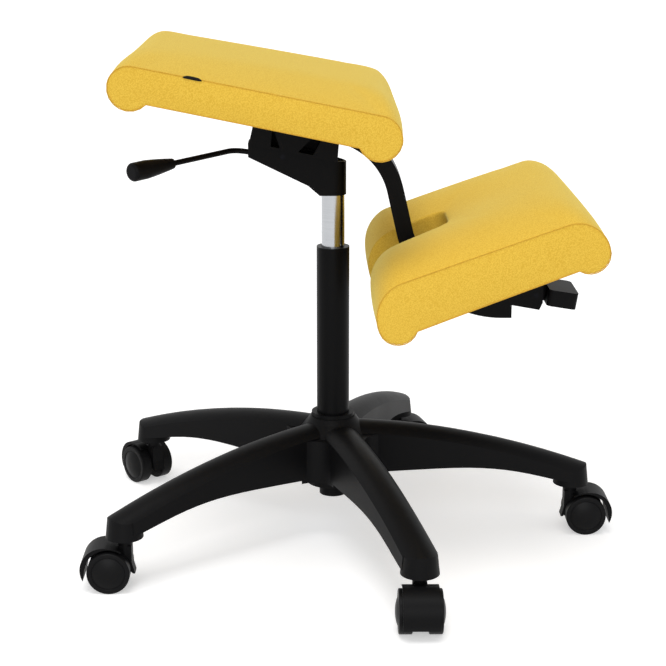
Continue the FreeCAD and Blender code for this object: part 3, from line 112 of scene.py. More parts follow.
def crepe_polyester(name, shadow_hex, light_hex, fuzz):
    material, tree, place = start_finish(name)
    floats = add(tree, "ShaderNodeTexVoronoi", {"Vector": place, "Scale": per_metre(FLOAT_MM)})
    slubs = add(tree, "ShaderNodeTexNoise", {"Vector": place, "Scale": per_metre(SLUB_MM), "Detail": 5.0})
    edges = add(tree, "ShaderNodeMath",
                {0: slubs.outputs["Fac"], 1: SLUB_SHARE, 2: floats.outputs["Distance"]},
                operation="MULTIPLY_ADD")
    share = add(tree, "ShaderNodeMapRange",
                {"Value": edges.outputs[0], "From Min": FLOAT_EDGE, "From Max": FLOAT_BACK})
    shade = add(tree, "ShaderNodeMix", {MIX_SHARE: share.outputs["Result"], MIX_LOW: linear(shadow_hex),
                                        MIX_HIGH: linear(light_hex)}, data_type="RGBA")
    bump = add(tree, "ShaderNodeBump",
               {"Height": share.outputs["Result"], "Strength": FLOAT_RELIEF,
                "Distance": FLOAT_HEIGHT_MM * MM})
    surface = add(tree, "ShaderNodeBsdfPrincipled",
                  {"Base Color": shade.outputs[MIX_RESULT], "Normal": bump.outputs["Normal"],
                   "Roughness": 0.85, "Specular IOR Level": 0.2, "Sheen Weight": fuzz,
                   "Sheen Roughness": 0.4, "Sheen Tint": linear(FUZZ_TINT)})
    add(tree, "ShaderNodeOutputMaterial", {"Surface": surface.outputs["BSDF"]})
    return material


pad_cloth = crepe_polyester("crepe_woven_polyester", "#DCB03A", "#F1CC52", 0.42)
# The seam's colours are darker than the cloth's: painted shade of the seam's crease.
seam_painted_shade = crepe_polyester("seam_crease_painted_shade", "#CC9C30", "#E0B443", 0.2)
tag_tape = crepe_polyester("woven_tape_black", "#0C0C0C", "#1A1A1A", 0.05)
print("fabrics", pad_cloth.name, seam_painted_shade.name, tag_tape.name)

# %% [markdown]
# The base and the castor hoods are moulded in glass-filled nylon. The mould was spark-eroded, which leaves
# a grain of about a millimetre that breaks up the reflections, so the black looks satin. The wheels come
# from a smoother mould and are a little glossier, and the bushes are turned acetal. A slow cloud changes
# colour and gloss slightly, as handling and flow in the mould do.

# %% Moulded plastics
CLOUD_MM = 90.0
GRAIN_RELIEF, GRAIN_HEIGHT_MM = 0.3, 0.1
NYLON_IOR = 1.53


def moulded(name, dark_hex, light_hex, grain_mm, gloss_rough, dull_rough, gloss):
    material, tree, place = start_finish(name)
    grain = add(tree, "ShaderNodeTexNoise", {"Vector": place, "Scale": per_metre(grain_mm), "Detail": 3.0})
    cloud = add(tree, "ShaderNodeTexNoise", {"Vector": place, "Scale": per_metre(CLOUD_MM), "Detail": 3.0})
    shade = add(tree, "ShaderNodeMix", {MIX_SHARE: cloud.outputs["Fac"], MIX_LOW: linear(dark_hex),
                                        MIX_HIGH: linear(light_hex)}, data_type="RGBA")
    rough = add(tree, "ShaderNodeMapRange", {"Value": cloud.outputs["Fac"], "To Min": gloss_rough,
                                             "To Max": dull_rough})
    bump = add(tree, "ShaderNodeBump",
               {"Height": grain.outputs["Fac"], "Strength": GRAIN_RELIEF, "Distance": GRAIN_HEIGHT_MM * MM})
    surface = add(tree, "ShaderNodeBsdfPrincipled",
                  {"Base Color": shade.outputs[MIX_RESULT], "Roughness": rough.outputs["Result"],
                   "IOR": NYLON_IOR, "Specular IOR Level": gloss, "Normal": bump.outputs["Normal"]})
    add(tree, "ShaderNodeOutputMaterial", {"Surface": surface.outputs["BSDF"]})
    return material


nylon = moulded("moulded_glass_filled_nylon", "#09090A", "#0F0F10", 1.2, 0.40, 0.52, 0.07)
wheel_nylon = moulded("moulded_nylon_wheel", "#0B0B0C", "#121213", 2.5, 0.34, 0.44, 0.08)
polypropylene = moulded("moulded_polypropylene", "#08080A", "#0E0E0F", 1.5, 0.42, 0.54, 0.07)
acetal = moulded("turned_acetal", "#0A0A0B", "#111112", 3.0, 0.30, 0.38, 0.09)
print("plastics", nylon.name, wheel_nylon.name, polypropylene.name, acetal.name)

# %% [markdown]
# The tube, the arm and the pressings are steel with a baked powder coat. The powder flows a little before
# it sets and leaves a faint orange peel, about 2 mm from dimple to dimple. No bare metal shows, so this is
# a black plastic-like skin with a satin gloss: the same recipe as a moulding, with a coarser grain.

# %% Powder coat
powder_coat = moulded("powder_coated_steel", "#070708", "#0D0D0E", 2.0, 0.34, 0.44, 0.06)
print("coat", powder_coat.name)

# %% [markdown]
# The gas cylinder is ground steel under bright chrome. Grinding runs round it, so the faint lines that
# are left lie level: noise squeezed flat gives them. Hidden bolts and screws are zinc plated, which is duller
# and slightly blue. The pins whose ends show are blackened in a salt bath, which leaves a dark, dull oxide.

# %% Plated metals
GRINDING_MM = 1.5


def plated(name, dark_hex, light_hex, gloss_rough, dull_rough, squeeze):
    material, tree, place = start_finish(name)
    pressed = add(tree, "ShaderNodeMapping", {"Vector": place, "Scale": (squeeze, squeeze, 1.0)})
    lines = add(tree, "ShaderNodeTexNoise", {"Vector": pressed.outputs["Vector"], "Detail": 3.0,
                                             "Scale": per_metre(GRINDING_MM)}).outputs["Fac"]
    shade = add(tree, "ShaderNodeMix", {MIX_SHARE: lines, MIX_LOW: linear(dark_hex),
                                        MIX_HIGH: linear(light_hex)}, data_type="RGBA")
    rough = add(tree, "ShaderNodeMapRange", {"Value": lines, "To Min": gloss_rough, "To Max": dull_rough})
    surface = add(tree, "ShaderNodeBsdfPrincipled",
                  {"Base Color": shade.outputs[MIX_RESULT], "Roughness": rough.outputs["Result"],
                   "Metallic": 1.0})
    add(tree, "ShaderNodeOutputMaterial", {"Surface": surface.outputs["BSDF"]})
    return material


chrome = plated("ground_chrome_plate", "#ABADB0", "#BCBEC1", 0.14, 0.24, 0.05)
zinc = plated("bright_zinc_plate", "#9CA1A8", "#B4B8BD", 0.26, 0.40, 1.0)
oxide = plated("blackened_steel", "#121214", "#1C1C1F", 0.34, 0.46, 1.0)
print("metals", chrome.name, zinc.name, oxide.name)

# %% [markdown]
# The boards under the pads are birch plywood. Its veneer is peeled off a turning log, which gives a long,
# soft figure: noise stretched along the grain, with a strand every 5 mm or so.

# %% Plywood
STRAND_MM, STRAND_SQUEEZE = 5.0, 0.08
plywood, tree, place = start_finish("peeled_birch_plywood")
long_grain = add(tree, "ShaderNodeMapping", {"Vector": place, "Scale": (STRAND_SQUEEZE, 1.0, 1.0)})
figure = add(tree, "ShaderNodeTexNoise",
             {"Vector": long_grain.outputs["Vector"], "Scale": per_metre(STRAND_MM), "Detail": 5.0})
wood = add(tree, "ShaderNodeMix", {MIX_SHARE: figure.outputs["Fac"], MIX_LOW: linear("#A27C4F"),
                                   MIX_HIGH: linear("#D4B487")}, data_type="RGBA")
board = add(tree, "ShaderNodeBsdfPrincipled", {"Base Color": wood.outputs[MIX_RESULT], "Roughness": 0.62})
add(tree, "ShaderNodeOutputMaterial", {"Surface": board.outputs["BSDF"]})
print("board", plywood.name)

# %% [markdown]
# Every hard piece keeps the shape that it was measured with, and takes the finish that belongs to its
# slot in the part's record.

# %% Finish the hard pieces
FINISH_OF_SLOT = {
    "fabric_yellow": pad_cloth, "tag_black": tag_tape, "nylon_black": nylon, "tread_black": wheel_nylon,
    "grip_black": polypropylene, "bush_black": acetal, "paint_black": powder_coat, "chrome": chrome,
    "steel": zinc, "plywood": plywood,
}
for entry in frame["record"]["subparts"]:
    for holder in frame["nodes"][entry["node"]].material_slots:
        holder.material = FINISH_OF_SLOT[entry["material_slot"]]
for name in ("lever_pin", "paddle_pin", "arm_bolts", "arm_nuts"):
    for holder in frame["nodes"][name].material_slots:
        holder.material = oxide

# %% [markdown]
# A pad is drawn from the side, in a frame that tilts with it: how far along, how high above the mounting
# face, and how far across. Two small functions turn a point of such a drawing into a point of the chair.

# %% The tilted drawings
SEAT_TILT = 11.6
SEAT_HEIGHT = 523.7
KNEE_TILT = 21.0
KNEE_FORWARD = 175.0
KNEE_HEIGHT = 379.1


def on_seat(along, above, across):
    tilt = math.radians(SEAT_TILT)
    forward = along * math.cos(tilt) + above * math.sin(tilt)
    return Vector((across, -forward, SEAT_HEIGHT - along * math.sin(tilt) + above * math.cos(tilt))) * MM


def on_knee(along, above, across):
    tilt = math.radians(KNEE_TILT)
    forward = KNEE_FORWARD + along * math.cos(tilt) - above * math.sin(tilt)
    return Vector((across, -forward, KNEE_HEIGHT + along * math.sin(tilt) + above * math.cos(tilt))) * MM


print("seat starts at", [round(v, 3) for v in on_seat(0, 0, 0)])
print("knee rest starts at", [round(v, 3) for v in on_knee(0, 0, 0)])

# %% [markdown]
# The side view of a pad is a chain of runs: a rolled end, a bowed top, another rolled end and a flat
# underside on the board. An arc through three points is the handiest form for the rolls, because three
# points can be read off a drawing. Each outline is drawn for a fullness from 0, at the side seams, to 1, in
# the middle of the pad, where the foam crowns. The pads start a few millimetres slack, because the cloth
# will swell later.

# %% Side views of the pads, in millimetres
DIAGONAL = math.sqrt(0.5)
SHOULDER_SHARE = 0.6        # how much of a crown reaches the shoulder of a roll
TOP_BOW = 1.5
SEAT_BACK, SEAT_FRONT = -248.3, 71.2
SEAT_ROLL, SEAT_ROLL_CENTRE = 24.0, 13.3
SEAT_TOP_REAR, SEAT_TOP_FRONT = 36.6, 38.6
SEAT_CROWN_REAR, SEAT_CROWN_FRONT = 9.5, 15.5
KNEE_BACK, KNEE_FRONT = -140.5, 127.0
KNEE_ROLL, KNEE_ROLL_CENTRE, KNEE_UNDER = 22.0, -16.0, -29.5
KNEE_TOP_REAR, KNEE_TOP_FRONT = 27.5, 23.0
KNEE_REAR_ROUND, KNEE_FRONT_ROUND = 40.0, 31.0
KNEE_CROWN_REAR, KNEE_CROWN_FRONT = 17.5, 15.5
ROLL_STEPS, SHOULDER_STEPS, LONG_STEPS = 8, 10, 40
REAR_STEPS, FORE_STEPS = 8, 20      # behind and before the slot's end


def arc(start, through, end, count):
    """Points along the arc through three points, from its start, without its end."""
    (ax, ay), (bx, by), (cx, cy) = start, through, end
    twice = 2 * (ax * (by - cy) + bx * (cy - ay) + cx * (ay - by))
    a2, b2, c2 = ax * ax + ay * ay, bx * bx + by * by, cx * cx + cy * cy
    ux = (a2 * (by - cy) + b2 * (cy - ay) + c2 * (ay - by)) / twice
    uy = (a2 * (cx - bx) + b2 * (ax - cx) + c2 * (bx - ax)) / twice
    first, middle, last = (math.atan2(y - uy, x - ux) for x, y in (start, through, end))
    turn = (last - first) % (2 * math.pi)
    if (middle - first) % (2 * math.pi) > turn:
        turn -= 2 * math.pi
    radius = math.hypot(ax - ux, ay - uy)
    angles = [first + turn * i / count for i in range(count)]
    return [(ux + radius * math.cos(angle), uy + radius * math.sin(angle)) for angle in angles]


def bow(start, end, first, last, rise, count):
    """Points of a shallow bow over a span, from first to last along it, without the last."""
    points = []
    for i in range(count):
        along = first + (last - first) * i / count
        share = (along - start[0]) / (end[0] - start[0])
        points.append((along, start[1] + (end[1] - start[1]) * share + rise * 4 * share * (1 - share)))
    return points


def seat_outline(full):
    """Side view of the seat pad in millimetres, as runs of points."""
    centre, slant = SEAT_ROLL_CENTRE, SEAT_ROLL * DIAGONAL
    reach = math.sqrt(SEAT_ROLL ** 2 - centre ** 2)
    rear, front = SEAT_BACK + SEAT_ROLL, SEAT_FRONT - SEAT_ROLL
    rear_rise, front_rise = SEAT_CROWN_REAR * full, SEAT_CROWN_FRONT * full
    back, nose = (SEAT_BACK - full, centre), (SEAT_FRONT + full, centre)
    rear_top, front_top = (rear, SEAT_TOP_REAR + rear_rise), (front, SEAT_TOP_FRONT + front_rise)
    rear_shoulder = (rear - slant - full, centre + slant + SHOULDER_SHARE * rear_rise)
    front_shoulder = (front + slant + full, centre + slant + SHOULDER_SHARE * front_rise)
    under_rear, under_front = (rear + reach, 0.0), (front - reach, 0.0)
    return [
        arc(under_rear, (rear - slant, centre - slant), back, ROLL_STEPS),
        arc(back, rear_shoulder, rear_top, SHOULDER_STEPS),
        bow(rear_top, front_top, rear, front, TOP_BOW * full, LONG_STEPS),
        arc(front_top, front_shoulder, nose, SHOULDER_STEPS),
        arc(nose, (front + slant, centre - slant), under_front, ROLL_STEPS),
        bow(under_front, under_rear, under_front[0], under_rear[0], 0.0, LONG_STEPS),
    ]


def knee_outline(full, dip, cut):
    """Side view of the knee pad, with its rear top lowered by a dip, and divided at a cut."""
    centre, slant, under = KNEE_ROLL_CENTRE, KNEE_ROLL * DIAGONAL, KNEE_UNDER
    reach = math.sqrt(KNEE_ROLL ** 2 - (centre - under) ** 2)
    rear_roll, front_roll = KNEE_BACK + KNEE_ROLL, KNEE_FRONT - KNEE_ROLL
    rear, front = KNEE_BACK + KNEE_REAR_ROUND, KNEE_FRONT - KNEE_FRONT_ROUND
    rear_rise, front_rise = KNEE_CROWN_REAR * full - dip, KNEE_CROWN_FRONT * full
    back, nose = (KNEE_BACK - full, centre), (KNEE_FRONT + full, centre)
    rear_top, front_top = (rear, KNEE_TOP_REAR + rear_rise), (front, KNEE_TOP_FRONT + front_rise)
    rear_shoulder = (rear - KNEE_REAR_ROUND * DIAGONAL - full,
                     centre + (KNEE_TOP_REAR - centre) * DIAGONAL + SHOULDER_SHARE * rear_rise)
    front_shoulder = (front + KNEE_FRONT_ROUND * DIAGONAL + full,
                      centre + (KNEE_TOP_FRONT - centre) * DIAGONAL + SHOULDER_SHARE * front_rise)
    under_rear, under_front = (rear_roll + reach, under), (front_roll - reach, under)
    return [
        arc(under_rear, (rear_roll - slant, centre - slant), back, ROLL_STEPS),
        arc(back, rear_shoulder, rear_top, SHOULDER_STEPS),
        bow(rear_top, front_top, rear, cut, TOP_BOW * full, REAR_STEPS),
        bow(rear_top, front_top, cut, front, TOP_BOW * full, FORE_STEPS),
        arc(front_top, front_shoulder, nose, SHOULDER_STEPS),
        arc(nose, (front_roll + slant, centre - slant), under_front, ROLL_STEPS),
        bow(under_front, under_rear, under_front[0], cut, 0.0, FORE_STEPS),
        bow(under_front, under_rear, cut, under_rear[0], 0.0, REAR_STEPS),
    ]


print("seat outline", sum(map(len, seat_outline(0))), "points")

# %% [markdown]
# The cover is a long band that wraps round the pad and two flat side panels. The outline is repeated at
# stations across the pad, close together near the seams where the cloth bends most. Its fullness falls off
# with a high power, so the top stays level and rounds over near the seams. The sides pull in a little
# between the corners, as they do where a cover is stretched over foam, and the knee pad's cover is pulled
# down towards its slot.

# %% Stations across a pad
HALF_WIDTH = 210.0
SIDE_DRAW = 2.5
CROWN_POWER = 6
SEAM_STEPS = (0, 3, 8, 15, 23, 32, 42)      # millimetres in from a seam
STATION_STEP = 9.0
SLOT_DIP, SLOT_DIP_REACH = 15.0, 75.0


def stations(inner):
    """Distances from the middle of the pad, from a seam to an inner edge."""
    outer = [HALF_WIDTH - step for step in SEAM_STEPS]
    count = round((outer[-1] - inner) / STATION_STEP)
    return outer + [outer[-1] + (inner - outer[-1]) * (i + 1) / count for i in range(count)]


def fullness(across):
    return 1 - abs(across / HALF_WIDTH) ** CROWN_POWER


def slot_dip(across):
    """How far the rear of the knee pad is pulled down beside its slot."""
    return SLOT_DIP * math.exp(-(across / SLOT_DIP_REACH) ** 2)


def drawn(across, along, span):
    """The distance across, pulled in where the cover is tight between the corners."""
    share = (2 * along - span[0] - span[1]) / (span[1] - span[0])
    return across * (1 - SIDE_DRAW / HALF_WIDTH * (1 - min(1.0, share * share)))


print("stations from seam to middle", len(stations(0.0)))

# %% [markdown]
# Two helpers make the faces. One joins two rings of points with a strip of four-sided faces. The other
# fills a flat panel with rings that shrink towards a spine, which gives the cloth an even mesh to bulge
# and keeps the seam as one clean edge. A number on each point says how firmly it is held: the seams and
# the part that is stapled to the board don't move.

# %% Helpers for a cover
PANEL_DEPTHS = (0.06, 0.16, 0.32, 0.54, 0.78, 1.0)
WELD = 0.1 * MM


def strip(mesh, first, second, closed=True):
    """Four-sided faces between two rows of points."""
    for i in range(len(first) if closed else len(first) - 1):
        j = (i + 1) % len(first)
        mesh.faces.new((first[i], first[j], second[j], second[i]))


def panel(mesh, held, edge, spine, firm):
    """Rings from an edge to a spine, point by point."""
    ring = edge
    for depth in PANEL_DEPTHS:
        inner = [mesh.verts.new(v.co.lerp(target, depth)) for v, target in zip(edge, spine)]
        for v in inner:
            v[held] = firm
        strip(mesh, ring, inner)
        ring = inner


def finish_cover(mesh, name):
    """Welds the spines, turns all faces outwards and makes the object."""
    bmesh.ops.remove_doubles(mesh, verts=mesh.verts, dist=WELD)
    bmesh.ops.recalc_face_normals(mesh, faces=mesh.faces)
    for face in mesh.faces:
        face.smooth = True
    data = bpy.data.meshes.new(name)
    mesh.to_mesh(data)
    mesh.free()
    cover = bpy.data.objects.new(name, data)
    bpy.context.scene.collection.objects.link(cover)
    return cover


print("a side panel has", len(PANEL_DEPTHS), "rings")

# %% [markdown]
# The seat cover is the plain case: every station has the whole outline. The spine of a side panel runs
# from the centre of one roll to the centre of the other.

# %% Seat cover
SEAT_SPINE_ABOVE = 17.0
SEAT_UNDERSIDE = 5          # the last run of its outline
seat_span = (SEAT_BACK, SEAT_FRONT)
seat_across = [-x for x in stations(0.0)] + stations(0.0)[-2::-1]
seat_mesh = bmesh.new()
held = seat_mesh.verts.layers.float.new("held")
seat_rings = []
for across in seat_across:
    runs = seat_outline(fullness(across))
    ring = []
    for number, run in enumerate(runs):
        for along, above in run:
            point = seat_mesh.verts.new(on_seat(along, above, drawn(across, along, seat_span)))
            point[held] = 1.0 if number == SEAT_UNDERSIDE or abs(across) == HALF_WIDTH else 0.0
            ring.append(point)
    if seat_rings:
        strip(seat_mesh, seat_rings[-1], ring)
    seat_rings.append(ring)
for side, ring in ((-1, seat_rings[0]), (1, seat_rings[-1])):
    rear, front = (on_seat(along, SEAT_SPINE_ABOVE, drawn(side * HALF_WIDTH, along, seat_span))
                   for along in (SEAT_BACK + SEAT_ROLL, SEAT_FRONT - SEAT_ROLL))
    lengths = [len(run) for run in seat_outline(0.0)]
    spine = [rear] * (lengths[0] + lengths[1])
    spine += [rear.lerp(front, i / lengths[2]) for i in range(lengths[2])]
    spine += [front] * (lengths[3] + lengths[4])
    spine += [front.lerp(rear, i / lengths[5]) for i in range(lengths[5])]
    panel(seat_mesh, held, ring, spine, 0.0)
seat_seams = [[point.co.copy() for point in ring] for ring in (seat_rings[0], seat_rings[-1])]
seat_pad = finish_cover(seat_mesh, "seat_pad_cover")
print("seat cover", len(seat_pad.data.vertices), "points")

# %% [markdown]
# The knee rest has a slot for the arm, open at the rear. So the stations between the slot's walls only have
# the part of the outline in front of the slot, and its rounded inner end follows a quarter circle at each
# corner. The walls of the slot are panels too, held still, because the foam is glued there.

# %% Knee cover
SLOT_HALF = 42.0
SLOT_END = -27.0
SLOT_CORNER, CORNER_ANGLES = 15.0, (0, 22.5, 45, 67.5, 90)
WALL_STEPS = 8
FORE_RUNS, UNDERSIDE_RUNS, REAR_UNDERSIDE = (3, 4, 5, 6), (6, 7), 7      # by their place in the outline
MIDDLE_STATIONS = (18.0, 9.0)
knee_span = (KNEE_BACK, KNEE_FRONT)
corner = [(SLOT_HALF - SLOT_CORNER * (1 - math.cos(math.radians(angle))),
           SLOT_END - SLOT_CORNER * (1 - math.sin(math.radians(angle))))
          for angle in CORNER_ANGLES]
block = [(x, corner[0][1]) for x in stations(SLOT_HALF)]
middle = corner[1:] + [(x, SLOT_END) for x in MIDDLE_STATIONS]
half = block + middle
knee_plan = [(-x, cut) for x, cut in half] + [(0.0, SLOT_END)] + half[::-1]

knee_mesh = bmesh.new()
held = knee_mesh.verts.layers.float.new("held")
knee_rings = []
for across, cut in knee_plan:
    ring = []
    for number, run in enumerate(knee_outline(fullness(across), slot_dip(across), cut)):
        for along, above in run:
            point = None
            at_cut = number == REAR_UNDERSIDE and along == cut
            if abs(across) >= SLOT_HALF or number in FORE_RUNS or at_cut:
                point = knee_mesh.verts.new(on_knee(along, above, drawn(across, along, knee_span)))
                point[held] = 1.0 if number in UNDERSIDE_RUNS or abs(across) == HALF_WIDTH else 0.0
            ring.append(point)
    knee_rings.append(ring)
lengths = [len(run) for run in knee_outline(0.0, 0.0, corner[0][1])]
top_cut, under_cut = sum(lengths[:FORE_RUNS[0]]), sum(lengths[:REAR_UNDERSIDE])
for here, following, first, second in zip(knee_plan, knee_plan[1:], knee_rings, knee_rings[1:]):
    if min(abs(here[0]), abs(following[0])) >= SLOT_HALF and here[0] * following[0] > 0:
        strip(knee_mesh, first, second)
    else:
        strip(knee_mesh, first[top_cut:under_cut + 1], second[top_cut:under_cut + 1], closed=False)
print("knee stations", len(knee_plan), "cut at points", top_cut, under_cut)

# %% [markdown]
# Now the knee rest's flat panels: the two outer sides, the two long walls of the slot, and its rounded
# end, which is a strip of short columns from the top edge down to the underside. The cover is sewn to the
# lining along the slot's edge, so that edge gets a crease, which keeps it sharp when the mesh is rounded.

# %% Knee side panels and slot walls
KNEE_SPINE_ABOVE = -3.0
KNEE_SPINE_ALONG = (-112.0, 100.0)
WALL_HEART_ALONG = -90.0
SEWN_CREASE = 0.7
for side, ring in ((-1, knee_rings[0]), (1, knee_rings[-1])):
    rear, front = (on_knee(along, KNEE_SPINE_ABOVE, drawn(side * HALF_WIDTH, along, knee_span))
                   for along in KNEE_SPINE_ALONG)
    turn = rear.lerp(front, REAR_STEPS / (REAR_STEPS + FORE_STEPS))
    spine = [rear] * (lengths[0] + lengths[1])
    spine += [rear.lerp(turn, i / lengths[2]) for i in range(lengths[2])]
    spine += [turn.lerp(front, i / lengths[3]) for i in range(lengths[3])]
    spine += [front] * (lengths[4] + lengths[5])
    spine += [front.lerp(turn, i / lengths[6]) for i in range(lengths[6])]
    spine += [turn.lerp(rear, i / lengths[7]) for i in range(lengths[7])]
    panel(knee_mesh, held, ring, spine, 0.0)

columns = {}
for index, ((across, cut), ring) in enumerate(zip(knee_plan, knee_rings)):
    if abs(across) <= SLOT_HALF:
        top, foot = ring[top_cut], ring[under_cut]
        steps = [knee_mesh.verts.new(top.co.lerp(foot.co, i / WALL_STEPS)) for i in range(1, WALL_STEPS)]
        for point in steps:
            point[held] = 1.0
        columns[index] = [top] + steps + [foot]
order = sorted(columns)
sewn = [columns[index][0] for index in order]
for first, second in zip(order, order[1:]):
    strip(knee_mesh, columns[first], columns[second], closed=False)
for index in (order[0], order[-1]):
    ring, column = knee_rings[index], columns[index]
    edge = ring[under_cut:] + ring[:top_cut] + column[:-1]
    heart = on_knee(WALL_HEART_ALONG, KNEE_SPINE_ABOVE, knee_plan[index][0])
    panel(knee_mesh, held, edge, [heart] * len(edge), 1.0)
crease = knee_mesh.edges.layers.float.new("crease_edge")
walls = [knee_rings[index][:top_cut + 1] for index in (order[0], order[-1])]
for line in [sewn] + walls:
    for first, second in zip(line, line[1:]):
        knee_mesh.edges.get((first, second))[crease] = SEWN_CREASE
knee_seams = [[point.co.copy() for point in ring] for ring in (knee_rings[0], knee_rings[-1])]
knee_pad = finish_cover(knee_mesh, "knee_pad_cover")
print("knee cover", len(knee_pad.data.vertices), "points")

# %% [markdown]
# Foam pushes a sewn cover out until the cloth is tight. Blender's cloth does the same with a pressure
# inside a closed mesh and gravity off. The points that are sewn or stapled are pinned, twenty frames
# settle it, and no point may move further than a few millimetres, so that the pad keeps its measured size.
# The result is written back to the mesh, so no simulation is left on the piece.

# %% Blow up the covers
LAST_FRAME = 20
FOAM_PRESSURE = 4.0
CLOTH_MASS, CLOTH_STIFFNESS, CLOTH_BENDING = 0.3, 20, 1.0
MOST_MM = 4.0
NO_MOVE = 1e-9


def blow_up(cover):
    """Runs the cloth and keeps its result, with a limit on how far a point moves."""
    pins = cover.vertex_groups.new(name="sewn")
    start = numpy.empty(len(cover.data.vertices) * 3)
    cover.data.vertices.foreach_get("co", start)
    start = start.reshape(-1, 3)
    firm = numpy.empty(len(start), numpy.float32)
    cover.data.attributes["held"].data.foreach_get("value", firm)
    pins.add([int(i) for i in numpy.nonzero(firm)[0]], 1.0, "REPLACE")
    cloth = cover.modifiers.new("foam", "CLOTH")
    cloth.settings.mass = CLOTH_MASS
    cloth.settings.tension_stiffness = cloth.settings.compression_stiffness = CLOTH_STIFFNESS
    cloth.settings.bending_stiffness = CLOTH_BENDING
    cloth.settings.vertex_group_mass = pins.name
    cloth.settings.use_pressure = True
    cloth.settings.uniform_pressure_force = FOAM_PRESSURE
    cloth.settings.effector_weights.gravity = 0
    cloth.point_cache.frame_end = LAST_FRAME
    for step in range(1, LAST_FRAME + 1):
        bpy.context.scene.frame_set(step)
    settled = cover.evaluated_get(bpy.context.evaluated_depsgraph_get()).to_mesh()
    end = numpy.empty(len(start) * 3)
    settled.vertices.foreach_get("co", end)
    moved = end.reshape(-1, 3) - start
    cover.modifiers.remove(cloth)
    bpy.context.scene.frame_set(1)
    length = numpy.linalg.norm(moved, axis=1, keepdims=True)
    limit = MOST_MM * MM
    moved *= limit * numpy.tanh(length / limit) / numpy.maximum(length, NO_MOVE)
    cover.data.vertices.foreach_set("co", (start + moved).ravel())
    cover.data.update()
    cover.data.attributes.remove(cover.data.attributes["held"])
    return float(length.max()) / MM


for cover, body, node in ((seat_pad, "seat", "seat_cushion"), (knee_pad, "knee_rest", "knee_cushion")):
    print(cover.name, "would move", round(blow_up(cover), 1), "mm")
    rounding = cover.modifiers.new("rounding", "SUBSURF")
    rounding.levels = rounding.render_levels = 1
    cover.data.materials.append(pad_cloth)
    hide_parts(node)
    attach(cover, body)

# %% [markdown]
# The side seams show as a fine darker line where the two cloths are sewn together. A thin tube along each
# seam, half sunk in the crease, is enough for it; its darker colour is painted shade of the crease. A small
# folded tape is caught in the seat's right seam, and its fold is lower towards its ends, where the stitches
# hold it down.

# %% Seams and tag
SEAM_RADIUS, SEAM_ROUNDNESS = 0.6, 2


def sew(name, path, body):
    """A closed line along a seam, coloured darker as painted shade of the crease."""
    line = bpy.data.curves.new(name, "CURVE")
    line.dimensions = "3D"
    line.bevel_depth = SEAM_RADIUS * MM
    line.bevel_resolution = SEAM_ROUNDNESS
    run = line.splines.new("POLY")
    run.points.add(len(path) - 1)
    for point, place in zip(run.points, path):
        point.co = (*place, 1.0)
    run.use_cyclic_u = True
    seam = bpy.data.objects.new(name, line)
    bpy.context.scene.collection.objects.link(seam)
    # The seam's darker colour is painted shade of the crease.
    line.materials.append(seam_painted_shade)
    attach(seam, body)


for side, seat_path, knee_path in zip(("right", "left"), seat_seams, knee_seams):
    sew("seat_seam_" + side, seat_path, "seat")
    sew("knee_seam_" + side, knee_path, "knee_rest")

TAG_ALONG = (-171.0, -151.0)
TAG_ROOT = 36.0
TAG_FOLD = [(-0.5, -0.5), (0.6, -0.6), (1.4, 0.2), (1.6, 1.7),
            (1.3, 2.8), (0.8, 3.1), (0.4, 2.6), (0.5, 0.8)]
TAG_STEPS = 12
TAG_RIPPLE = 0.3
TAG_PINCH, TAG_PINCH_POWER = 0.65, 4        # how much lower the fold is at its ends
tag_mesh = bmesh.new()
tag_rows = []
for i in range(TAG_STEPS + 1):
    along = TAG_ALONG[0] + (TAG_ALONG[1] - TAG_ALONG[0]) * i / TAG_STEPS
    edge = drawn(-HALF_WIDTH, along, seat_span) - TAG_RIPPLE * math.sin(i)
    rise = 1 - TAG_PINCH * (2 * i / TAG_STEPS - 1) ** TAG_PINCH_POWER
    tag_rows.append([tag_mesh.verts.new(on_seat(along, TAG_ROOT + up * rise, edge - out))
                     for out, up in TAG_FOLD])
for first, second in zip(tag_rows, tag_rows[1:]):
    strip(tag_mesh, first, second)
tag_mesh.faces.new(tag_rows[0])
tag_mesh.faces.new(tag_rows[-1])
seat_tape = finish_cover(tag_mesh, "seat_seam_tape")
seat_tape.data.materials.append(tag_tape)
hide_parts("seat_tag")
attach(seat_tape, "seat")
print("seams", 4, "tape", [round(v / MM) for v in seat_tape.dimensions])

# %% [markdown]
# The chair stands on a white studio floor. The floor's own colour takes the shadow, and a little glow that
# only the camera and reflections see lifts it to white. The world does the same: it lights the chair evenly
# from all round, and shows as white behind it.

# %% Floor and world
FLOOR_REACH = 30.0
FLOOR_GLOW = 0.44
WORLD_LIGHT = 0.48


def seen_directly(tree):
    """1 for what the camera sees straight, in a reflection or through glass, and 0 for light on the chair."""
    path = add(tree, "ShaderNodeLightPath")
    seen = add(tree, "ShaderNodeMath",
               {0: path.outputs["Is Camera Ray"], 1: path.outputs["Is Glossy Ray"]}, operation="MAXIMUM")
    return add(tree, "ShaderNodeMath",
               {0: seen.outputs[0], 1: path.outputs["Is Transmission Ray"]}, operation="MAXIMUM").outputs[0]


floor_data = bpy.data.meshes.new("studio_floor")
floor_data.from_pydata([(-FLOOR_REACH, -FLOOR_REACH, 0), (FLOOR_REACH, -FLOOR_REACH, 0),
                        (FLOOR_REACH, FLOOR_REACH, 0), (-FLOOR_REACH, FLOOR_REACH, 0)], [], [(0, 1, 2, 3)])
floor = bpy.data.objects.new("studio_floor", floor_data)
bpy.context.scene.collection.objects.link(floor)

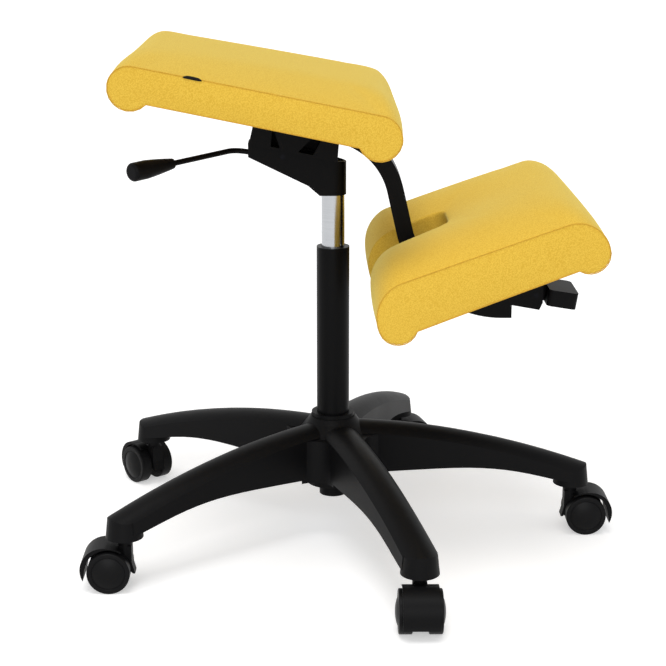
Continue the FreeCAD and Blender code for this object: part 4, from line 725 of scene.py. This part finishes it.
paper, tree, _ = start_finish("matt_white_paper")
glow = add(tree, "ShaderNodeMath", {0: seen_directly(tree), 1: FLOOR_GLOW}, operation="MULTIPLY")
matt = add(tree, "ShaderNodeBsdfPrincipled",
           {"Base Color": linear("#E8E8E8"), "Roughness": 0.9, "Specular IOR Level": 0.1,
            "Emission Color": linear("#FFFFFF"), "Emission Strength": glow.outputs[0]})
add(tree, "ShaderNodeOutputMaterial", {"Surface": matt.outputs["BSDF"]})
floor_data.materials.append(paper)

scene = bpy.context.scene
scene.world = bpy.data.worlds.new("studio")
scene.world.use_nodes = True
tree = scene.world.node_tree
tree.nodes.clear()
strength = add(tree, "ShaderNodeMapRange",
               {"Value": seen_directly(tree), "To Min": WORLD_LIGHT, "To Max": 1.0})
sky = add(tree, "ShaderNodeBackground", {"Color": linear("#FFFFFF"), "Strength": strength.outputs["Result"]})
add(tree, "ShaderNodeOutputWorld", {"Surface": sky.outputs["Background"]})
print("floor", FLOOR_REACH * 2, "m wide, world light", WORLD_LIGHT)

# %% [markdown]
# Catalogue pictures are lit from large soft boxes far off, so that the floor is even from edge to edge. Two
# sun lamps with a wide angle do that: one overhead and a little towards the viewer, which lays a soft shadow
# under and just behind the legs, and one low from the viewer's side, which fills the sides of the pads.

# %% Lamps
LAMPS = (                   # name, where the light comes from, spread in degrees, strength
    ("soft_light_above", (-0.28, 0.1, 1.0), 30, 1.2),
    ("soft_light_viewer", (-1.0, 0.1, 0.45), 40, 1.1),
)
for name, comes_from, spread_degrees, strength in LAMPS:
    lamp = bpy.data.lights.new(name, "SUN")
    lamp.angle = math.radians(spread_degrees)
    lamp.energy = strength
    holder = bpy.data.objects.new(name, lamp)
    scene.collection.objects.link(holder)
    holder.location = comes_from
    holder.rotation_euler = (-Vector(comes_from)).to_track_quat("-Z", "Y").to_euler()
    print(name, strength)

# %% [markdown]
# The camera stands to the right of the chair, a little above the seat. Its distance and lens come from
# fitting the measured castors and pads to the picture, which is 666 pixels wide.

# %% Camera
AIM = Vector((0.0, 0.0, 0.2579))
AZIMUTH, ELEVATION, DISTANCE = -90.5, 15.03, 2.0211
FOCAL_PIXELS, PICTURE_PIXELS, SENSOR_MM = 1640.7, 666, 36.0

turn, rise = math.radians(AZIMUTH), math.radians(ELEVATION)
back = Vector((math.sin(turn) * math.cos(rise), -math.cos(turn) * math.cos(rise), math.sin(rise)))
lens = bpy.data.cameras.new("catalogue_camera")
lens.sensor_width = SENSOR_MM
lens.lens = SENSOR_MM * FOCAL_PIXELS / PICTURE_PIXELS
camera = bpy.data.objects.new("catalogue_camera", lens)
scene.collection.objects.link(camera)
camera.location = AIM + back * DISTANCE
camera.rotation_euler = (-back).to_track_quat("-Z", "Y").to_euler()
scene.camera = camera
scene.view_settings.view_transform = "Standard"
print("lens", round(lens.lens, 2), "mm at", [round(v, 3) for v in camera.location])
